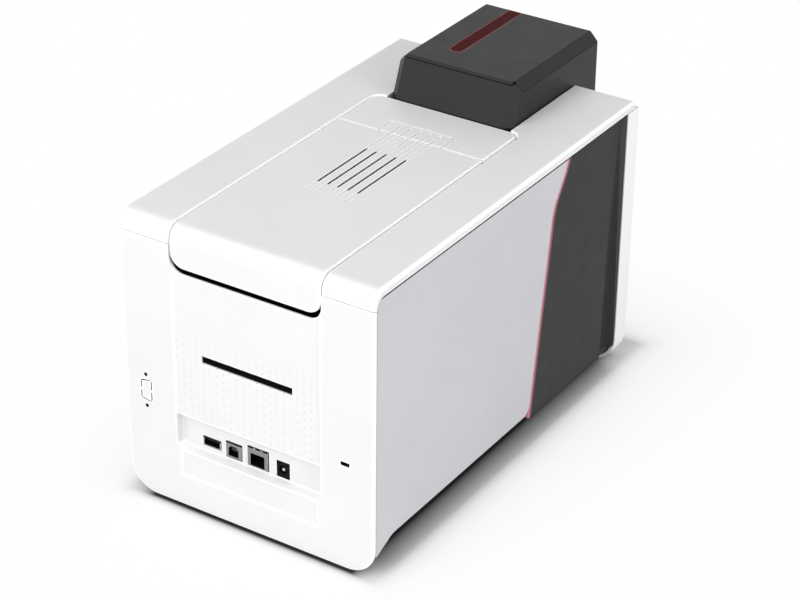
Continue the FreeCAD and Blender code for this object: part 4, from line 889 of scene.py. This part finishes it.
def clear_share(shader):
    """Share of plain white on the floor: none under the object, nearly all where its shadow has faded."""
    away = away_from(shader, half_width, rear_y)
    share = 1
    for fade, amount in ((near_fade, near_shadow), (far_fade, far_shadow)):
        shade = shader.math("MULTIPLY", faded(shader, away, fade), amount)
        share = shader.math("SUBTRACT", share, shade)
    return share


def floor_paper():
    """White paper that takes the object's shadow, with a painted contact shadow near the object, and shows
    as plain white away from it.
    """
    shader = Shader("floor_paper")
    shader.give("Roughness", floor_rough)
    shader.give("Specular IOR Level", 0)
    cloud = shader.noise(floor_scale, detail=2)
    shader.give("Base Color", shader.blend(cloud, tone(FLOOR, floor_white), FLOOR))
    under = away_from(shader, contact_half_x, contact_half_y, contact_middle_y, contact_narrow)
    contact = faded(shader, under, contact_fade)
    # Painted contact shadow under and near the object
    shader.paint(shader.math("MULTIPLY", contact, contact_shade), DEEP_BLACK_AND_SHADE)
    mixed = shader.add("ShaderNodeMixShader")
    shader.feed(shader.seen_share(clear_share(shader)), mixed.inputs[0])
    shader.feed(shader.surface.outputs[0], mixed.inputs[1])
    shader.feed(shader.add("ShaderNodeEmission").outputs[0], mixed.inputs[2])
    shader.feed(mixed.outputs[0], shader.output.inputs["Surface"])
    return shader


def floor():
    work = bmesh.new()
    bmesh.ops.create_grid(work, x_segments=1, y_segments=1, size=floor_half)
    mesh = bpy.data.meshes.new("floor")
    work.to_mesh(mesh)
    work.free()
    mesh.materials.append(floor_paper().material)
    item = bpy.data.objects.new("floor", mesh)
    bpy.context.scene.collection.objects.link(item)


# World and lamps
def studio():
    """White world where it is seen, and a lower level of it as light on the object."""
    world = bpy.data.worlds.new("studio")
    bpy.context.scene.world = world
    world.use_nodes = True
    sky = Tree(world.node_tree)
    background = sky.tree.nodes["Background"]
    sky.feed((1, 1, 1, 1), background.inputs["Color"])
    sky.feed(sky.spread(sky.seen_share(1), sky_level, 1, 0, 1), background.inputs["Strength"])


def softbox(name, place, size, power):
    light = bpy.data.lights.new(name, "AREA")
    light.shape = "RECTANGLE"
    light.size, light.size_y = size
    light.energy = power
    item = bpy.data.objects.new(name, light)
    bpy.context.scene.collection.objects.link(item)
    item.location = place
    item.rotation_euler = (Vector(lamp_target) - Vector(place)).to_track_quat("-Z", "Y").to_euler()


# Camera
def camera():
    sin_a, cos_a = math.sin(camera_azimuth), math.cos(camera_azimuth)
    sin_e, cos_e = math.sin(camera_elevation), math.cos(camera_elevation)
    back = Vector((sin_a * cos_e, -cos_a * cos_e, sin_e))
    right = Vector((cos_a, sin_a, 0))
    up = back.cross(right)
    turned = Matrix((right, up, back)).transposed().to_4x4()
    lens = bpy.data.cameras.new("photo_camera")
    lens.sensor_width = sensor_width
    lens.lens = lens_length
    lens.clip_start = near_clip
    item = bpy.data.objects.new("photo_camera", lens)
    bpy.context.scene.collection.objects.link(item)
    item.matrix_world = Matrix.Translation(camera_place) @ turned @ Matrix.Rotation(camera_roll, 4, "Z")
    bpy.context.scene.camera = item


floor()
studio()
for lamp in LAMPS:
    softbox(*lamp)
camera()
bpy.context.scene.view_settings.view_transform = "Standard"
